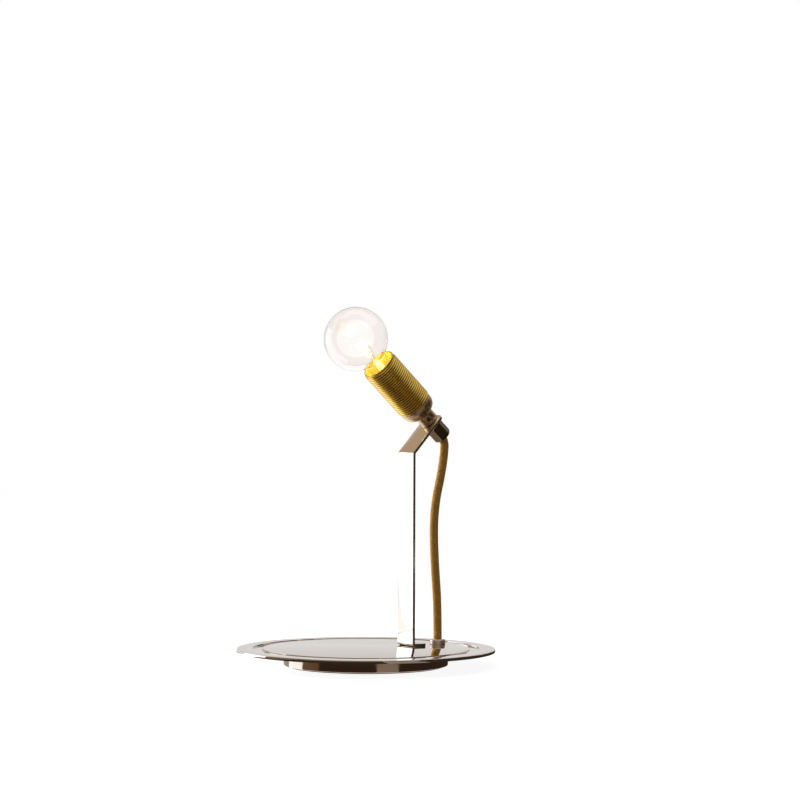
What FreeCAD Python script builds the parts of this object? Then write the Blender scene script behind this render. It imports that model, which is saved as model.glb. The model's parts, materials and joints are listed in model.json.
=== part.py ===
import FreeCAD
import Part
import math
import os

# Bare bulb table lamp. Millimetres, +Z up, origin at the middle of the foot's underside.
# The lamp leans over backwards (+Y) and throws its bulb forwards (-Y); X is its plane of symmetry.
# The lampholder and bulb are drawn upright on their own axis, then tilted onto the arm.

# ---------------------------------------------------------------- driving sizes: base
plate_radius = 91.0
plate_thickness = 2.3
plate_edge_chamfer = 0.3
groove_inner_radius = 72.8
groove_outer_radius = 79.8
groove_depth = 1.1
foot_radius = 57.8
foot_height = 9.7
foot_wall = 2.8
foot_web = 1.4
foot_edge_radius = 1.2
pad_proud = 0.8
pad_thickness = 1.6
cover_thickness = 1.2
cover_clearance = 0.2
pocket_wall = 1.5
pocket_floor = 1.0
pocket_lift = 2.0
pocket_nut_clearance = 1.1
ballast_inner_radius = 27.0
ballast_wall_distance = 5.0
ballast_thickness = 2.6
ballast_gap_deg = 104.0

# ---------------------------------------------------------------- driving sizes: fasteners
thread_gap = 0.05
slip_gap = 0.2
stud_rim_distance = 8.0
stud_count = 3
stud_first_deg = 30.0
stud_radius = 2.0
stud_nut_flats = 7.0
stud_nut_height = 2.2
stud_washer_radius = 4.4
stud_washer_thickness = 0.8
stud_projection = 0.1
cover_screw_count = 3
cover_screw_wall_distance = 5.0
cover_screw_first_deg = 0.0
cover_screw_radius = 1.5
cover_screw_head_radius = 2.8
cover_screw_length = 5.0
cover_screw_hole_spare = 0.3
cover_boss_radius = 3.6
strap_screw_radius = 1.5
strap_screw_head_radius = 2.8
strap_screw_head_height = 1.8
strap_washer_radius = 3.4
strap_washer_thickness = 0.5
strap_screw_spacing = 11.0
strap_screw_setback = 0.3
strap_screw_sink = 0.1

# ---------------------------------------------------------------- driving sizes: flat-bar post
strap_width = 20.0
strap_thickness = 2.0
strap_front_y = 33.0
post_height = 137.3
arm_length = 36.3
arm_angle = 47.5
arm_hole_distance = 30.2
arm_corner_radius = 3.5
tab_length = 8.9
bend_radius = 1.6

# ---------------------------------------------------------------- driving sizes: cord and its fittings
cord_radius = 3.15
cord_gap = 0.15
bush_y = 61.0
bush_collar_radius = 5.6
bush_collar_height = 3.5
bush_collar_rounding = 0.9
bush_stem_radius = 4.0
bush_seat_depth = 3.0
bush_bore_radius = 3.0
bush_nut_flats = 12.0
bush_nut_turn = 30.0
bush_nut_height = 2.2
bush_stem_projection = 0.3
wire_radius = 0.9
wire_bundle_radius = 1.15
wire_level_gap = 0.1
wire_bared_end = 2.5
wire_pocket_x = 4.6
live_wire_sway = 0.3
live_wire_before_screws = 8.0
live_wire_past_screws = 7.0
live_wire_straight = 6.0
neutral_wire_screw_gap = 1.6
neutral_wire_turn_in = 8.7
neutral_wire_past_screws = 8.0
neutral_wire_straight = 5.0
earth_wire_turn_x = 12.0
earth_wire_turn_in = 7.0
earth_wire_straight = 11.0
outlet_angle = 35.0
outlet_bore_radius = 3.35
outlet_sleeve_radius = 4.1
outlet_flange_radius = 4.4
outlet_flange_thickness = 1.2
outlet_sleeve_start = 0.4
outlet_height = 5.7

# ---------------------------------------------------------------- driving sizes: terminal block
block_length = 22.0
block_depth = 13.0
block_height = 5.9
block_y = 10.0
pole_pitch = 10.0
sleeve_radius = 1.7
sleeve_bore_radius = 1.05
sleeve_length = 11.0
pole_depth = 2.5
pole_screw_radius = 1.1
pole_screw_offset = 3.0
block_screw_bite = 0.9
block_screw_radius = 1.4
block_screw_head_radius = 2.5
block_screw_head_height = 1.5

# ---------------------------------------------------------------- driving sizes: earth tag
earth_barrel_radius = 1.4
earth_barrel_start = 6.0
earth_barrel_length = 5.0
earth_barrel_back = 1.5
earth_wire_entry = 1.7
earth_neck_start = 1.2

# ---------------------------------------------------------------- driving sizes: lampholder
nipple_radius = 5.0
nipple_bore_radius = 3.4
nipple_length = 17.0
lock_washer_radius = 6.6
lock_washer_thickness = 0.6
grip_flats = 11.7
grip_length = 13.9
grip_thread_depth = 6.9
grip_mouth_wall = 1.5
grip_mouth_flare = 0.9
grip_insert_wall_gap = 0.4
grip_turn = 15.0
grip_chamfer = 0.6
neck_radius = 6.7
cap_dome_radius = 6.6
cap_band_radius = 12.4
cap_dome_start = 8.2
cap_band_height = 3.2
cap_notch_height = 0.8
cap_notch_depth = 0.5
spigot_radius = 11.25
spigot_bore_radius = 10.2
spigot_height = 4.0
grub_radius = 1.5
grub_height = 4.4
grub_turn = -22.0
grub_sink = 0.1
barrel_length = 41.2
barrel_relief = 0.8
barrel_inner_radius = 11.3
barrel_root_radius = 12.2
barrel_crest_radius = 12.95
rib_pitch = 1.75
rib_flat = 0.25
lip_height = 1.5
lip_rise = 0.3
lip_chamfer = 0.3
ledge_radius = 9.3
ledge_thickness = 1.0
core_flange_height = 4.0
core_tube_radius = 9.0
core_tube_height = 20.0
core_floor = 5.5
core_screw_hole_depth = 2.0
shell_inner_radius = 7.05
shell_thickness = 0.3
shell_bead = 0.9
shell_foot_gap = 0.3
contact_width = 3.5
contact_thickness = 0.4
contact_rise = 1.25
contact_reach = 6.2
contact_foot_length = 1.6
contact_rise_start = 3.4
contact_tongue_end = 1.4
terminal_offset = 6.2
terminal_screw_radius = 1.8
terminal_screw_height = 1.6
terminal_shank_radius = 0.9
terminal_shank_length = 1.8
holder_wire_radius = 0.8
holder_wire_spread = 1.5
holder_wire_splay_start = 8.5
holder_wire_splay_end = 3.6

# ---------------------------------------------------------------- driving sizes: bulb
bulb_radius = 22.5
bulb_length = 78.0
bulb_seat_gap = 0.25
glass_wall = 0.7
neck_glass_radius = 8.8
neck_fillet_radius = 5.0
glass_cap_gap = 0.1
glass_taper_start = 0.4
cap_screw_radius = 6.6
cap_wall = 0.25
cap_screw_height = 16.8
cap_glass_overlap = 5.0
cap_floor = 1.0
cap_floor_hole = 1.0
cap_edge_chamfer = 0.9
tip_radius = 2.3
tip_height = 1.6
insulator_height = 3.2
insulator_small_radius = 3.2
stem_radius = 3.0
stem_height = 17.0
stem_foot_height = 1.0
stem_neck_height = 5.0
stem_pinch_height = 4.0
stem_pinch_share = 0.6
lead_radius = 0.35
lead_spread = 8.0
lead_height = 15.0
lead_root_share = 0.45
lead_straight_start = 4.0
lead_straight_end = 5.0
filament_radius = 0.4
filament_rise = 2.4
filament_overhang = 0.2

# ---------------------------------------------------------------- levels and places worked out
foot_bottom = pad_proud
plate_bottom = foot_bottom + foot_height
plate_top = plate_bottom + plate_thickness
cover_bottom = pad_thickness
cover_top = cover_bottom + cover_thickness
web_bottom = plate_bottom - foot_web
ballast_bottom = web_bottom - ballast_thickness
washer_bottom = ballast_bottom - stud_washer_thickness
nut_bottom = washer_bottom - stud_nut_height
stud_bottom = nut_bottom - stud_projection
cavity_radius = foot_radius - foot_wall
cover_screw_circle_radius = cavity_radius - cover_screw_wall_distance
ballast_outer_radius = cavity_radius - ballast_wall_distance
stud_circle_radius = ballast_outer_radius - stud_rim_distance
cover_radius = cavity_radius - cover_clearance
pocket_bottom = foot_bottom + pocket_lift
pocket_inner_radius = bush_nut_flats / math.sqrt(3.0) + pocket_nut_clearance
pocket_radius = pocket_inner_radius + pocket_wall
pocket_mouth_y = math.sqrt(cavity_radius ** 2 - pocket_inner_radius ** 2)
tab_screw_y = strap_front_y + strap_thickness + tab_length / 2.0 + strap_screw_setback
strap_head_top = web_bottom - strap_washer_thickness
strap_head_bottom = strap_head_top - strap_screw_head_height
bush_seat_z = plate_top + bush_collar_height - bush_seat_depth
bush_stem_bottom = plate_bottom - bush_nut_height - bush_stem_projection
block_top = web_bottom
block_bottom = block_top - block_height
pole_z = block_top - pole_depth
upper_wire_z = bush_stem_bottom - wire_radius - slip_gap
lower_wire_z = upper_wire_z - 2.0 * wire_radius - wire_level_gap
earth_barrel_z = ballast_bottom - slip_gap - earth_barrel_radius
earth_turn = stud_first_deg + 90.0
fold_z = plate_top + post_height
tilt = math.radians(arm_angle)
hole_y = strap_front_y + arm_hole_distance * math.cos(tilt)
hole_z = fold_z + arm_hole_distance * math.sin(tilt)

arm_back = -strap_thickness
grip_end = arm_back - grip_length
grip_seat = arm_back - grip_thread_depth
nipple_start = grip_seat
neck_start = lock_washer_thickness
dome_centre_radius = cap_band_radius - cap_dome_radius
dome_centre_height = cap_dome_start + cap_dome_radius
cap_shoulder = dome_centre_height + cap_band_height
spigot_top = cap_shoulder + spigot_height
barrel_start = cap_shoulder
barrel_end = barrel_start + barrel_length
core_start = spigot_top
core_flange_top = core_start + core_flange_height
core_floor_top = core_start + core_floor
core_top = core_flange_top + core_tube_height
core_bore_radius = shell_inner_radius + shell_thickness + thread_gap
contact_top = core_floor_top + contact_rise
tip_start = contact_top + bulb_seat_gap
bulb_centre_height = tip_start + bulb_length - bulb_radius
insulator_start = tip_start + tip_height
screw_start = insulator_start + insulator_height
screw_end = screw_start + cap_screw_height
glass_start = screw_end - cap_glass_overlap
cap_inner_radius = cap_screw_radius - cap_wall

# The lamp lead's route in the lamp's plane: grip, sharp turn at its mouth, loose S down, bush.
cord_route = [
    (hole_y - grip_seat * math.sin(tilt), hole_z + grip_seat * math.cos(tilt)),
    (66.6, 160.2),
    (66.1, 148.5),
    (63.4, 133.5),
    (58.9, 116.0),
    (57.1, 96.0),
    (58.5, 68.0),
    (bush_y, 40.0),
    (bush_y, bush_seat_z),
]


# ---------------------------------------------------------------- helpers
def vec(x, y, z):
    return FreeCAD.Vector(x, y, z)


def disc(radius, low, high, x=0.0, y=0.0):
    return Part.makeCylinder(radius, high - low, vec(x, y, low))


def ring(outer, inner, low, high, x=0.0, y=0.0):
    return disc(outer, low, high, x, y).cut(disc(inner, low - 1.0, high + 1.0, x, y))


def block(x0, x1, y0, y1, z0, z1):
    return Part.makeBox(x1 - x0, y1 - y0, z1 - z0, vec(x0, y0, z0))


def hexagon(flats, low, high, x=0.0, y=0.0, turn=0.0):
    corner = flats / math.sqrt(3.0)
    angles = [math.radians(turn + 60.0 * i) for i in range(7)]
    points = [vec(x + corner * math.cos(a), y + corner * math.sin(a), low) for a in angles]
    return Part.Face(Part.makePolygon(points)).extrude(vec(0, 0, high - low))


def outline(start, steps):
    """Closed edges in the XZ plane: a step is an end point, or a pair (through point, end point)."""
    edges = []
    here = start
    for step in list(steps) + [start]:
        through, end = step if isinstance(step[0], tuple) else (None, step)
        a = vec(here[0], 0, here[1])
        b = vec(end[0], 0, end[1])
        if through is None:
            edges.append(Part.LineSegment(a, b).toShape())
        else:
            edges.append(Part.Arc(a, vec(through[0], 0, through[1]), b).toShape())
        here = end
    return edges


def turned(start, *steps):
    """A solid of revolution about Z from an outline of (radius, height) points."""
    face = Part.Face(Part.Wire(outline(start, steps)))
    return face.revolve(vec(0, 0, 0), vec(0, 0, 1), 360)


def circle_point(centre, radius, degrees):
    a = math.radians(degrees)
    return (centre[0] + radius * math.cos(a), centre[1] + radius * math.sin(a))


def polar(radius, degrees):
    return circle_point((0.0, 0.0), radius, degrees)


def joined(shapes):
    result = shapes[0]
    for shape in shapes[1:]:
        result = result.fuse(shape)
    return result.removeSplitter()


def route_wire(points):
    """Straight runs joined by tangent arcs, each as large as its two runs allow."""
    edges = []
    radii = []
    here = points[0]
    for before, corner, after in zip(points, points[1:], points[2:]):
        back = before - corner
        ahead = after - corner
        shorter = min(back.Length, ahead.Length)
        half_turn = (math.pi - back.getAngle(ahead)) / 2.0
        reach = 0.45 * shorter
        radius = reach / math.tan(half_turn)
        back.normalize()
        ahead.normalize()
        enter = corner + back * reach
        leave = corner + ahead * reach
        inward = back + ahead
        inward.normalize()
        middle = corner + inward * (radius / math.cos(half_turn) - radius)
        edges.append(Part.LineSegment(here, enter).toShape())
        edges.append(Part.Arc(enter, middle, leave).toShape())
        radii.append(round(radius, 1))
        here = leave
    edges.append(Part.LineSegment(here, points[-1]).toShape())
    return Part.Wire(edges), radii


def tube_along(name, points, radius):
    """A round solid along a route; prints its bend radii and how its volume compares."""
    path, radii = route_wire(points)
    start_direction = points[1] - points[0]
    section = Part.Wire(Part.makeCircle(radius, points[0], start_direction))
    tube = path.makePipeShell([section], True, False)
    expected = math.pi * radius ** 2 * path.Length
    share = tube.Volume / expected
    print(f"{name}: length {path.Length:.1f} mm, bend radii {radii}, volume share {share:.4f}")
    return tube


def on_arm(shape):
    """Tilts a piece drawn upright on the lampholder's axis onto the hole in the arm."""
    moved = shape.copy()
    turn = FreeCAD.Rotation(vec(1, 0, 0), arm_angle)
    moved.Placement = FreeCAD.Placement(vec(0, hole_y, hole_z), turn).multiply(moved.Placement)
    return moved


def stud_places():
    return [polar(stud_circle_radius, stud_first_deg + 360.0 / stud_count * i) for i in range(stud_count)]


def cover_screw_places():
    step = 360.0 / cover_screw_count
    angles = [cover_screw_first_deg + step * i for i in range(cover_screw_count)]
    return [polar(cover_screw_circle_radius, angle) for angle in angles]


def strap_screw_places():
    return [(-strap_screw_spacing / 2.0, tab_screw_y), (strap_screw_spacing / 2.0, tab_screw_y)]


# ---------------------------------------------------------------- base
def base_plate():
    c = plate_edge_chamfer
    plate = turned(
        (0.0, plate_bottom),
        (plate_radius - c, plate_bottom),
        (plate_radius, plate_bottom + c),
        (plate_radius, plate_top - c),
        (plate_radius - c, plate_top),
        (groove_outer_radius, plate_top),
        (groove_outer_radius, plate_top - groove_depth),
        (groove_inner_radius, plate_top - groove_depth),
        (groove_inner_radius, plate_top),
        (0.0, plate_top),
    )
    studs = [disc(stud_radius, stud_bottom, plate_bottom, x, y) for x, y in stud_places()]
    plate = joined([plate] + studs)
    plate = plate.cut(disc(bush_stem_radius + thread_gap, plate_bottom - 1, plate_top + 1, 0, bush_y))
    for x, y in strap_screw_places():
        plate = plate.cut(disc(strap_screw_radius + slip_gap, plate_bottom - 1, plate_top + 1, x, y))
    return plate


def pocket_form(radius, low, high):
    round_end = disc(radius, low, high, 0, bush_y)
    neck = block(-radius, radius, cavity_radius - foot_wall, bush_y, low, high)
    return round_end.fuse(neck)


def outlet_axis_cylinder(radius, start, length):
    a = math.radians(90.0 + outlet_angle)
    direction = vec(math.cos(a), math.sin(a), 0)
    foot = direction * start + vec(0, 0, outlet_height)
    return Part.makeCylinder(radius, length, foot, direction)


def foot_casing():
    r = foot_edge_radius
    corner = (foot_radius - r, foot_bottom + r)
    casing = turned(
        (0.0, foot_bottom),
        (foot_radius - r, foot_bottom),
        (circle_point(corner, r, -45), (foot_radius, foot_bottom + r)),
        (foot_radius, plate_bottom),
        (0.0, plate_bottom),
    )
    casing = casing.fuse(pocket_form(pocket_radius, pocket_bottom, plate_bottom))
    casing = casing.cut(disc(cavity_radius, foot_bottom - 1, web_bottom))
    casing = casing.cut(pocket_form(pocket_inner_radius, pocket_bottom + pocket_floor, web_bottom))
    casing = casing.cut(disc(pocket_inner_radius, web_bottom - 1, plate_bottom + 1, 0, bush_y))
    bosses = [disc(cover_boss_radius, cover_top, web_bottom, x, y) for x, y in cover_screw_places()]
    casing = joined([casing] + bosses)
    for x, y in stud_places():
        casing = casing.cut(disc(stud_radius + slip_gap, web_bottom - 1, plate_bottom + 1, x, y))
    for x, y in strap_screw_places():
        casing = casing.cut(disc(strap_screw_radius + slip_gap, web_bottom - 1, plate_bottom + 1, x, y))
    for x, y in cover_screw_places():
        hole_top = cover_bottom + cover_screw_length + cover_screw_hole_spare
        casing = casing.cut(disc(cover_screw_radius + thread_gap, cover_top - 1, hole_top, x, y))
    casing = casing.cut(disc(block_screw_radius + thread_gap, web_bottom - 1, plate_bottom, 0, block_y))
    sleeve_hole_radius = outlet_sleeve_radius + thread_gap
    return casing.cut(outlet_axis_cylinder(sleeve_hole_radius, cavity_radius - 1.0, foot_wall + 2.0))


def ballast_weight():
    weight = ring(ballast_outer_radius, ballast_inner_radius, ballast_bottom, web_bottom)
    reach = 2.0 * ballast_outer_radius
    half_gap = ballast_gap_deg / 2.0
    left = polar(reach, 90.0 + half_gap)
    right = polar(reach, 90.0 - half_gap)
    corners = [(0.0, 0.0), right, (right[0], reach), (left[0], reach), left, (0.0, 0.0)]
    wedge_wire = Part.makePolygon([vec(x, y, ballast_bottom - 1) for x, y in corners])
    weight = weight.cut(Part.Face(wedge_wire).extrude(vec(0, 0, ballast_thickness + 2)))
    for x, y in stud_places():
        weight = weight.cut(disc(stud_radius + slip_gap, ballast_bottom - 1, web_bottom + 1, x, y))
    for x, y in cover_screw_places():
        weight = weight.cut(disc(cover_boss_radius + slip_gap, ballast_bottom - 1, web_bottom + 1, x, y))
    return weight


def plate_nuts():
    nuts = []
    for x, y in stud_places():
        nut = hexagon(stud_nut_flats, nut_bottom, washer_bottom, x, y)
        nuts.append(nut.cut(disc(stud_radius + thread_gap, nut_bottom - 1, washer_bottom + 1, x, y)))
    return Part.makeCompound(nuts)


def plate_washers():
    places = stud_places()[1:]
    inner = stud_radius + slip_gap
    return Part.makeCompound(
        [ring(stud_washer_radius, inner, washer_bottom, ballast_bottom, x, y) for x, y in places]
    )


def along_earth_tag(distance):
    stud_x, stud_y = stud_places()[0]
    dx, dy = polar(distance, earth_turn)
    return (stud_x + dx, stud_y + dy)


def earth_tag():
    stud_x, stud_y = stud_places()[0]
    eye = ring(stud_washer_radius, stud_radius + slip_gap, washer_bottom, ballast_bottom, stud_x, stud_y)
    half = earth_barrel_radius
    start = stud_radius + earth_neck_start
    neck = block(start, earth_barrel_start + 1.0, -half, half, washer_bottom, ballast_bottom)
    neck.rotate(vec(0, 0, 0), vec(0, 0, 1), earth_turn)
    neck.translate(vec(stud_x, stud_y, 0))
    x, y = along_earth_tag(earth_barrel_start)
    direction = vec(*polar(1.0, earth_turn), 0)
    foot = vec(x, y, earth_barrel_z)
    barrel = Part.makeCylinder(earth_barrel_radius, earth_barrel_length, foot, direction)
    tag = joined([eye, neck, barrel])
    hole_foot = foot + direction * earth_barrel_back
    return tag.cut(Part.makeCylinder(wire_radius + thread_gap, earth_barrel_length, hole_foot, direction))


def cover_screw_form(x, y, gap):
    shank = disc(cover_screw_radius + gap, cover_bottom, cover_bottom + cover_screw_length, x, y)
    head = Part.makeCone(
        cover_screw_head_radius + gap,
        cover_screw_radius + gap,
        cover_thickness,
        vec(x, y, cover_bottom),
    )
    return shank.fuse(head)


def bottom_cover():
    cover = disc(cover_radius, cover_bottom, cover_top)
    for x, y in cover_screw_places():
        cover = cover.cut(cover_screw_form(x, y, thread_gap))
    return cover


def cover_screws():
    return Part.makeCompound([cover_screw_form(x, y, 0.0) for x, y in cover_screw_places()])


def felt_pad():
    return disc(cover_radius, 0.0, pad_thickness)


def mains_outlet_bush():
    inside = cavity_radius + outlet_sleeve_start
    sleeve = outlet_axis_cylinder(outlet_sleeve_radius, inside, foot_radius - inside)
    flange = outlet_axis_cylinder(outlet_flange_radius, foot_radius, outlet_flange_thickness)
    bore = outlet_axis_cylinder(outlet_bore_radius, inside - 1.0, foot_wall + outlet_flange_thickness + 2.0)
    return sleeve.fuse(flange).removeSplitter().cut(bore)


# ---------------------------------------------------------------- flat-bar post
def post_strap():
    t = strap_thickness
    half = strap_width / 2.0
    along = (math.cos(tilt), math.sin(tilt))
    across = (math.sin(tilt), -math.cos(tilt))
    miter = t * math.tan((math.pi / 2.0 - tilt) / 2.0)
    back_fold = (strap_front_y + t, fold_z - miter)
    arm_tip = (strap_front_y + arm_length * along[0], fold_z + arm_length * along[1])
    arm_tip_back = (arm_tip[0] + t * across[0], arm_tip[1] + t * across[1])
    tab_end = strap_front_y + t + tab_length
    corners = [
        (strap_front_y, plate_top),
        (strap_front_y, fold_z),
        arm_tip,
        arm_tip_back,
        back_fold,
        (strap_front_y + t, plate_top + t),
        (tab_end, plate_top + t),
        (tab_end, plate_top),
    ]
    points = [vec(-half, y, z) for y, z in corners + corners[:1]]
    strap = Part.Face(Part.makePolygon(points)).extrude(vec(strap_width, 0, 0))
    bends = [(strap_front_y, plate_top), (strap_front_y, fold_z)]
    outer_edges = [edge for edge in strap.Edges if is_bend(edge, bends)]
    strap = strap.makeFillet(bend_radius, outer_edges)
    keep = on_arm(arm_end_form())
    post = strap.common(block(-half, half, strap_front_y - 1, tab_end + 1, plate_top - 1, fold_z))
    arm_top = fold_z + arm_length
    arm = strap.common(block(-half, half, strap_front_y - 1, arm_tip_back[0] + 1, fold_z, arm_top))
    strap = joined([post, arm.common(keep)])
    strap = strap.cut(on_arm(disc(nipple_radius + thread_gap, arm_back - 1, 1)))
    for x, y in strap_screw_places():
        strap = strap.cut(disc(strap_screw_radius + thread_gap, plate_top - 1, plate_top + t + 1, x, y))
    return strap


def is_bend(edge, bends):
    centre = edge.CenterOfMass
    runs_along_x = abs(edge.Length - strap_width) < 1e-6
    return runs_along_x and any(abs(centre.y - y) + abs(centre.z - z) < 1e-3 for y, z in bends)


def arm_end_form():
    """The arm's outline seen square on, with its two end corners rounded."""
    half = strap_width / 2.0
    top = arm_length - arm_hole_distance
    form = block(-half, half, -2 * arm_length, top, arm_back - 1, 1)
    at_top = [edge for edge in form.Edges if abs(edge.CenterOfMass.y - top) < 1e-6]
    corners = [edge for edge in at_top if edge.Length < strap_width / 2.0]
    return form.makeFillet(arm_corner_radius, corners)


def strap_screws():
    tip = plate_top + strap_thickness - strap_screw_sink
    screws = []
    for x, y in strap_screw_places():
        head = disc(strap_screw_head_radius, strap_head_bottom, strap_head_top, x, y)
        shank = disc(strap_screw_radius, strap_head_top, tip, x, y)
        screws.append(head.fuse(shank).removeSplitter())
    return Part.makeCompound(screws)


def strap_washers():
    inner = strap_screw_radius + slip_gap
    return Part.makeCompound(
        [ring(strap_washer_radius, inner, strap_head_top, web_bottom, x, y) for x, y in strap_screw_places()]
    )


# ---------------------------------------------------------------- cord, bush and inner wires
def cord_bush():
    r = bush_collar_rounding
    top = plate_top + bush_collar_height
    seat_radius = cord_radius + cord_gap
    corner = (bush_collar_radius - r, top - r)
    bush = turned(
        (bush_bore_radius, bush_stem_bottom),
        (bush_stem_radius, bush_stem_bottom),
        (bush_stem_radius, plate_top),
        (bush_collar_radius, plate_top),
        (bush_collar_radius, top - r),
        (circle_point(corner, r, 45), (bush_collar_radius - r, top)),
        (seat_radius, top),
        (seat_radius, bush_seat_z),
        (bush_bore_radius, bush_seat_z),
    )
    bush.translate(vec(0, bush_y, 0))
    return bush


def cord_bush_nut():
    low = plate_bottom - bush_nut_height
    nut = hexagon(bush_nut_flats, low, plate_bottom, 0, bush_y, bush_nut_turn)
    return nut.cut(disc(bush_stem_radius + thread_gap, low - 1, plate_bottom + 1, 0, bush_y))


def lamp_cord():
    points = [vec(0, y, z) for y, z in cord_route]
    return tube_along("lamp_cord", points, cord_radius)


def pole_x(side):
    return side * pole_pitch / 2.0


def block_rear():
    return block_y + block_depth / 2.0


def bundle_place(degrees):
    dx, dy = polar(wire_bundle_radius, degrees)
    return (dx, bush_y + dy)


def live_wire():
    """Runs between the two strap screws to its pole."""
    x, y = bundle_place(90.0)
    points = [
        vec(x, y, bush_seat_z),
        vec(x, y, lower_wire_z),
        vec(x + live_wire_sway, tab_screw_y + live_wire_before_screws, lower_wire_z),
        vec(x, tab_screw_y - live_wire_past_screws, pole_z),
        vec(pole_x(1.0), block_rear() + live_wire_straight, pole_z),
        vec(pole_x(1.0), block_rear() - wire_bared_end, pole_z),
    ]
    return tube_along("live_wire", points, wire_radius)


def neutral_wire():
    """Swings round the outside of one strap screw to its pole."""
    x, y = bundle_place(210.0)
    swing = strap_screw_spacing / 2.0 + strap_screw_head_radius + wire_radius + neutral_wire_screw_gap
    points = [
        vec(x, y, bush_seat_z),
        vec(x, y, upper_wire_z),
        vec(-wire_pocket_x, pocket_mouth_y, upper_wire_z),
        vec(-swing, pocket_mouth_y - neutral_wire_turn_in, upper_wire_z),
        vec(-swing, tab_screw_y - neutral_wire_past_screws, pole_z),
        vec(pole_x(-1.0), block_rear() + neutral_wire_straight, pole_z),
        vec(pole_x(-1.0), block_rear() - wire_bared_end, pole_z),
    ]
    return tube_along("neutral_wire", points, wire_radius)


def earth_wire():
    """Leaves the bush on the other side and ends in the earth tag's barrel."""
    x, y = bundle_place(-30.0)
    end = along_earth_tag(earth_barrel_start + earth_wire_entry)
    approach = along_earth_tag(earth_barrel_start + earth_wire_straight)
    points = [
        vec(x, y, bush_seat_z),
        vec(x, y, upper_wire_z),
        vec(wire_pocket_x, pocket_mouth_y, upper_wire_z),
        vec(earth_wire_turn_x, pocket_mouth_y - earth_wire_turn_in, upper_wire_z),
        vec(approach[0], approach[1], earth_barrel_z),
        vec(end[0], end[1], earth_barrel_z),
    ]
    return tube_along("earth_wire", points, wire_radius)


# ---------------------------------------------------------------- terminal block
def pole_sides():
    return (-1.0, 1.0)


def pole_cylinder(side, radius, half_length):
    start = vec(pole_x(side), block_y - half_length, pole_z)
    return Part.makeCylinder(radius, 2.0 * half_length, start, vec(0, 1, 0))


def pole_screw_places():
    return [(pole_x(s), block_y + d * pole_screw_offset) for s in pole_sides() for d in (-1.0, 1.0)]


def block_screw_form(gap):
    head_top = block_bottom + block_screw_head_height + gap
    head = disc(block_screw_head_radius + gap, block_bottom, head_top, 0, block_y)
    shank = disc(block_screw_radius + gap, block_bottom, web_bottom + block_screw_bite * foot_web, 0, block_y)
    return head.fuse(shank).removeSplitter()


def terminal_block():
    half = block_length / 2.0
    body = block(-half, half, block_y - block_depth / 2.0, block_rear(), block_bottom, block_top)
    for side in pole_sides():
        body = body.cut(pole_cylinder(side, sleeve_radius + thread_gap, sleeve_length / 2.0))
        body = body.cut(pole_cylinder(side, sleeve_bore_radius, block_depth))
    for x, y in pole_screw_places():
        body = body.cut(disc(pole_screw_radius + slip_gap, block_bottom - 1, pole_z, x, y))
    return body.cut(block_screw_form(thread_gap))


def terminal_sleeves():
    sleeves = []
    for side in pole_sides():
        sleeve = pole_cylinder(side, sleeve_radius, sleeve_length / 2.0)
        sleeve = sleeve.cut(pole_cylinder(side, sleeve_bore_radius, sleeve_length))
        for x, y in pole_screw_places():
            sleeve = sleeve.cut(disc(pole_screw_radius + thread_gap, block_bottom - 1, pole_z, x, y))
        sleeves.append(sleeve)
    return Part.makeCompound(sleeves)


def terminal_screws():
    tip = pole_z - wire_radius - thread_gap
    screws = [disc(pole_screw_radius, block_bottom, tip, x, y) for x, y in pole_screw_places()]
    return Part.makeCompound(screws)


def block_screw():
    return block_screw_form(0.0)


# ---------------------------------------------------------------- lampholder, drawn upright
def entry_nipple():
    return ring(nipple_radius, nipple_bore_radius, nipple_start, nipple_start + nipple_length)


def arm_lock_washer():
    return ring(lock_washer_radius, nipple_radius + slip_gap, 0.0, lock_washer_thickness)


def cord_grip():
    body = hexagon(grip_flats, grip_end, arm_back, turn=grip_turn)
    corner = grip_flats / math.sqrt(3.0)
    c = grip_chamfer
    rounding = turned(
        (0.0, grip_end),
        (corner - c, grip_end),
        (corner, grip_end + c),
        (corner, arm_back - c),
        (corner - c, arm_back),
        (0.0, arm_back),
    )
    body = body.common(rounding)
    body = body.cut(disc(nipple_radius + thread_gap, grip_seat, arm_back + 1))
    body = body.cut(disc(insert_radius(), grip_end + grip_mouth_wall, grip_seat + 1))
    body = body.cut(disc(mouth_radius(), grip_end - 1, grip_seat))
    mouth = mouth_radius()
    flare = Part.makeCone(mouth + grip_mouth_flare, mouth, grip_mouth_flare, vec(0, 0, grip_end))
    return body.cut(flare)


def mouth_radius():
    return cord_radius + 2.0 * cord_gap


def insert_radius():
    return nipple_radius - grip_insert_wall_gap


def cord_grip_insert():
    outer = insert_radius() - thread_gap
    return ring(outer, cord_radius + cord_gap, grip_end + grip_mouth_wall, grip_seat - 0.1)


def holder_cap():
    bore = nipple_radius + thread_gap
    centre = (dome_centre_radius, dome_centre_height)
    inner_dome = spigot_bore_radius - dome_centre_radius
    meet = dome_centre_height - math.sqrt(cap_dome_radius ** 2 - (neck_radius - dome_centre_radius) ** 2)
    notch_radius = cap_band_radius - cap_notch_depth
    cap = turned(
        (bore, neck_start),
        (neck_radius, neck_start),
        (neck_radius, meet),
        (circle_point(centre, cap_dome_radius, -40), (cap_band_radius, dome_centre_height)),
        (cap_band_radius, cap_shoulder - cap_notch_height),
        (notch_radius, cap_shoulder - cap_notch_height),
        (notch_radius, cap_shoulder),
        (spigot_radius, cap_shoulder),
        (spigot_radius, spigot_top),
        (spigot_bore_radius, spigot_top),
        (spigot_bore_radius, dome_centre_height),
        (circle_point(centre, inner_dome, -45), (dome_centre_radius, dome_centre_height - inner_dome)),
        (bore, dome_centre_height - inner_dome),
    )
    return cap.cut(grub_form(grub_radius + thread_gap, neck_radius + 1.0))


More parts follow.
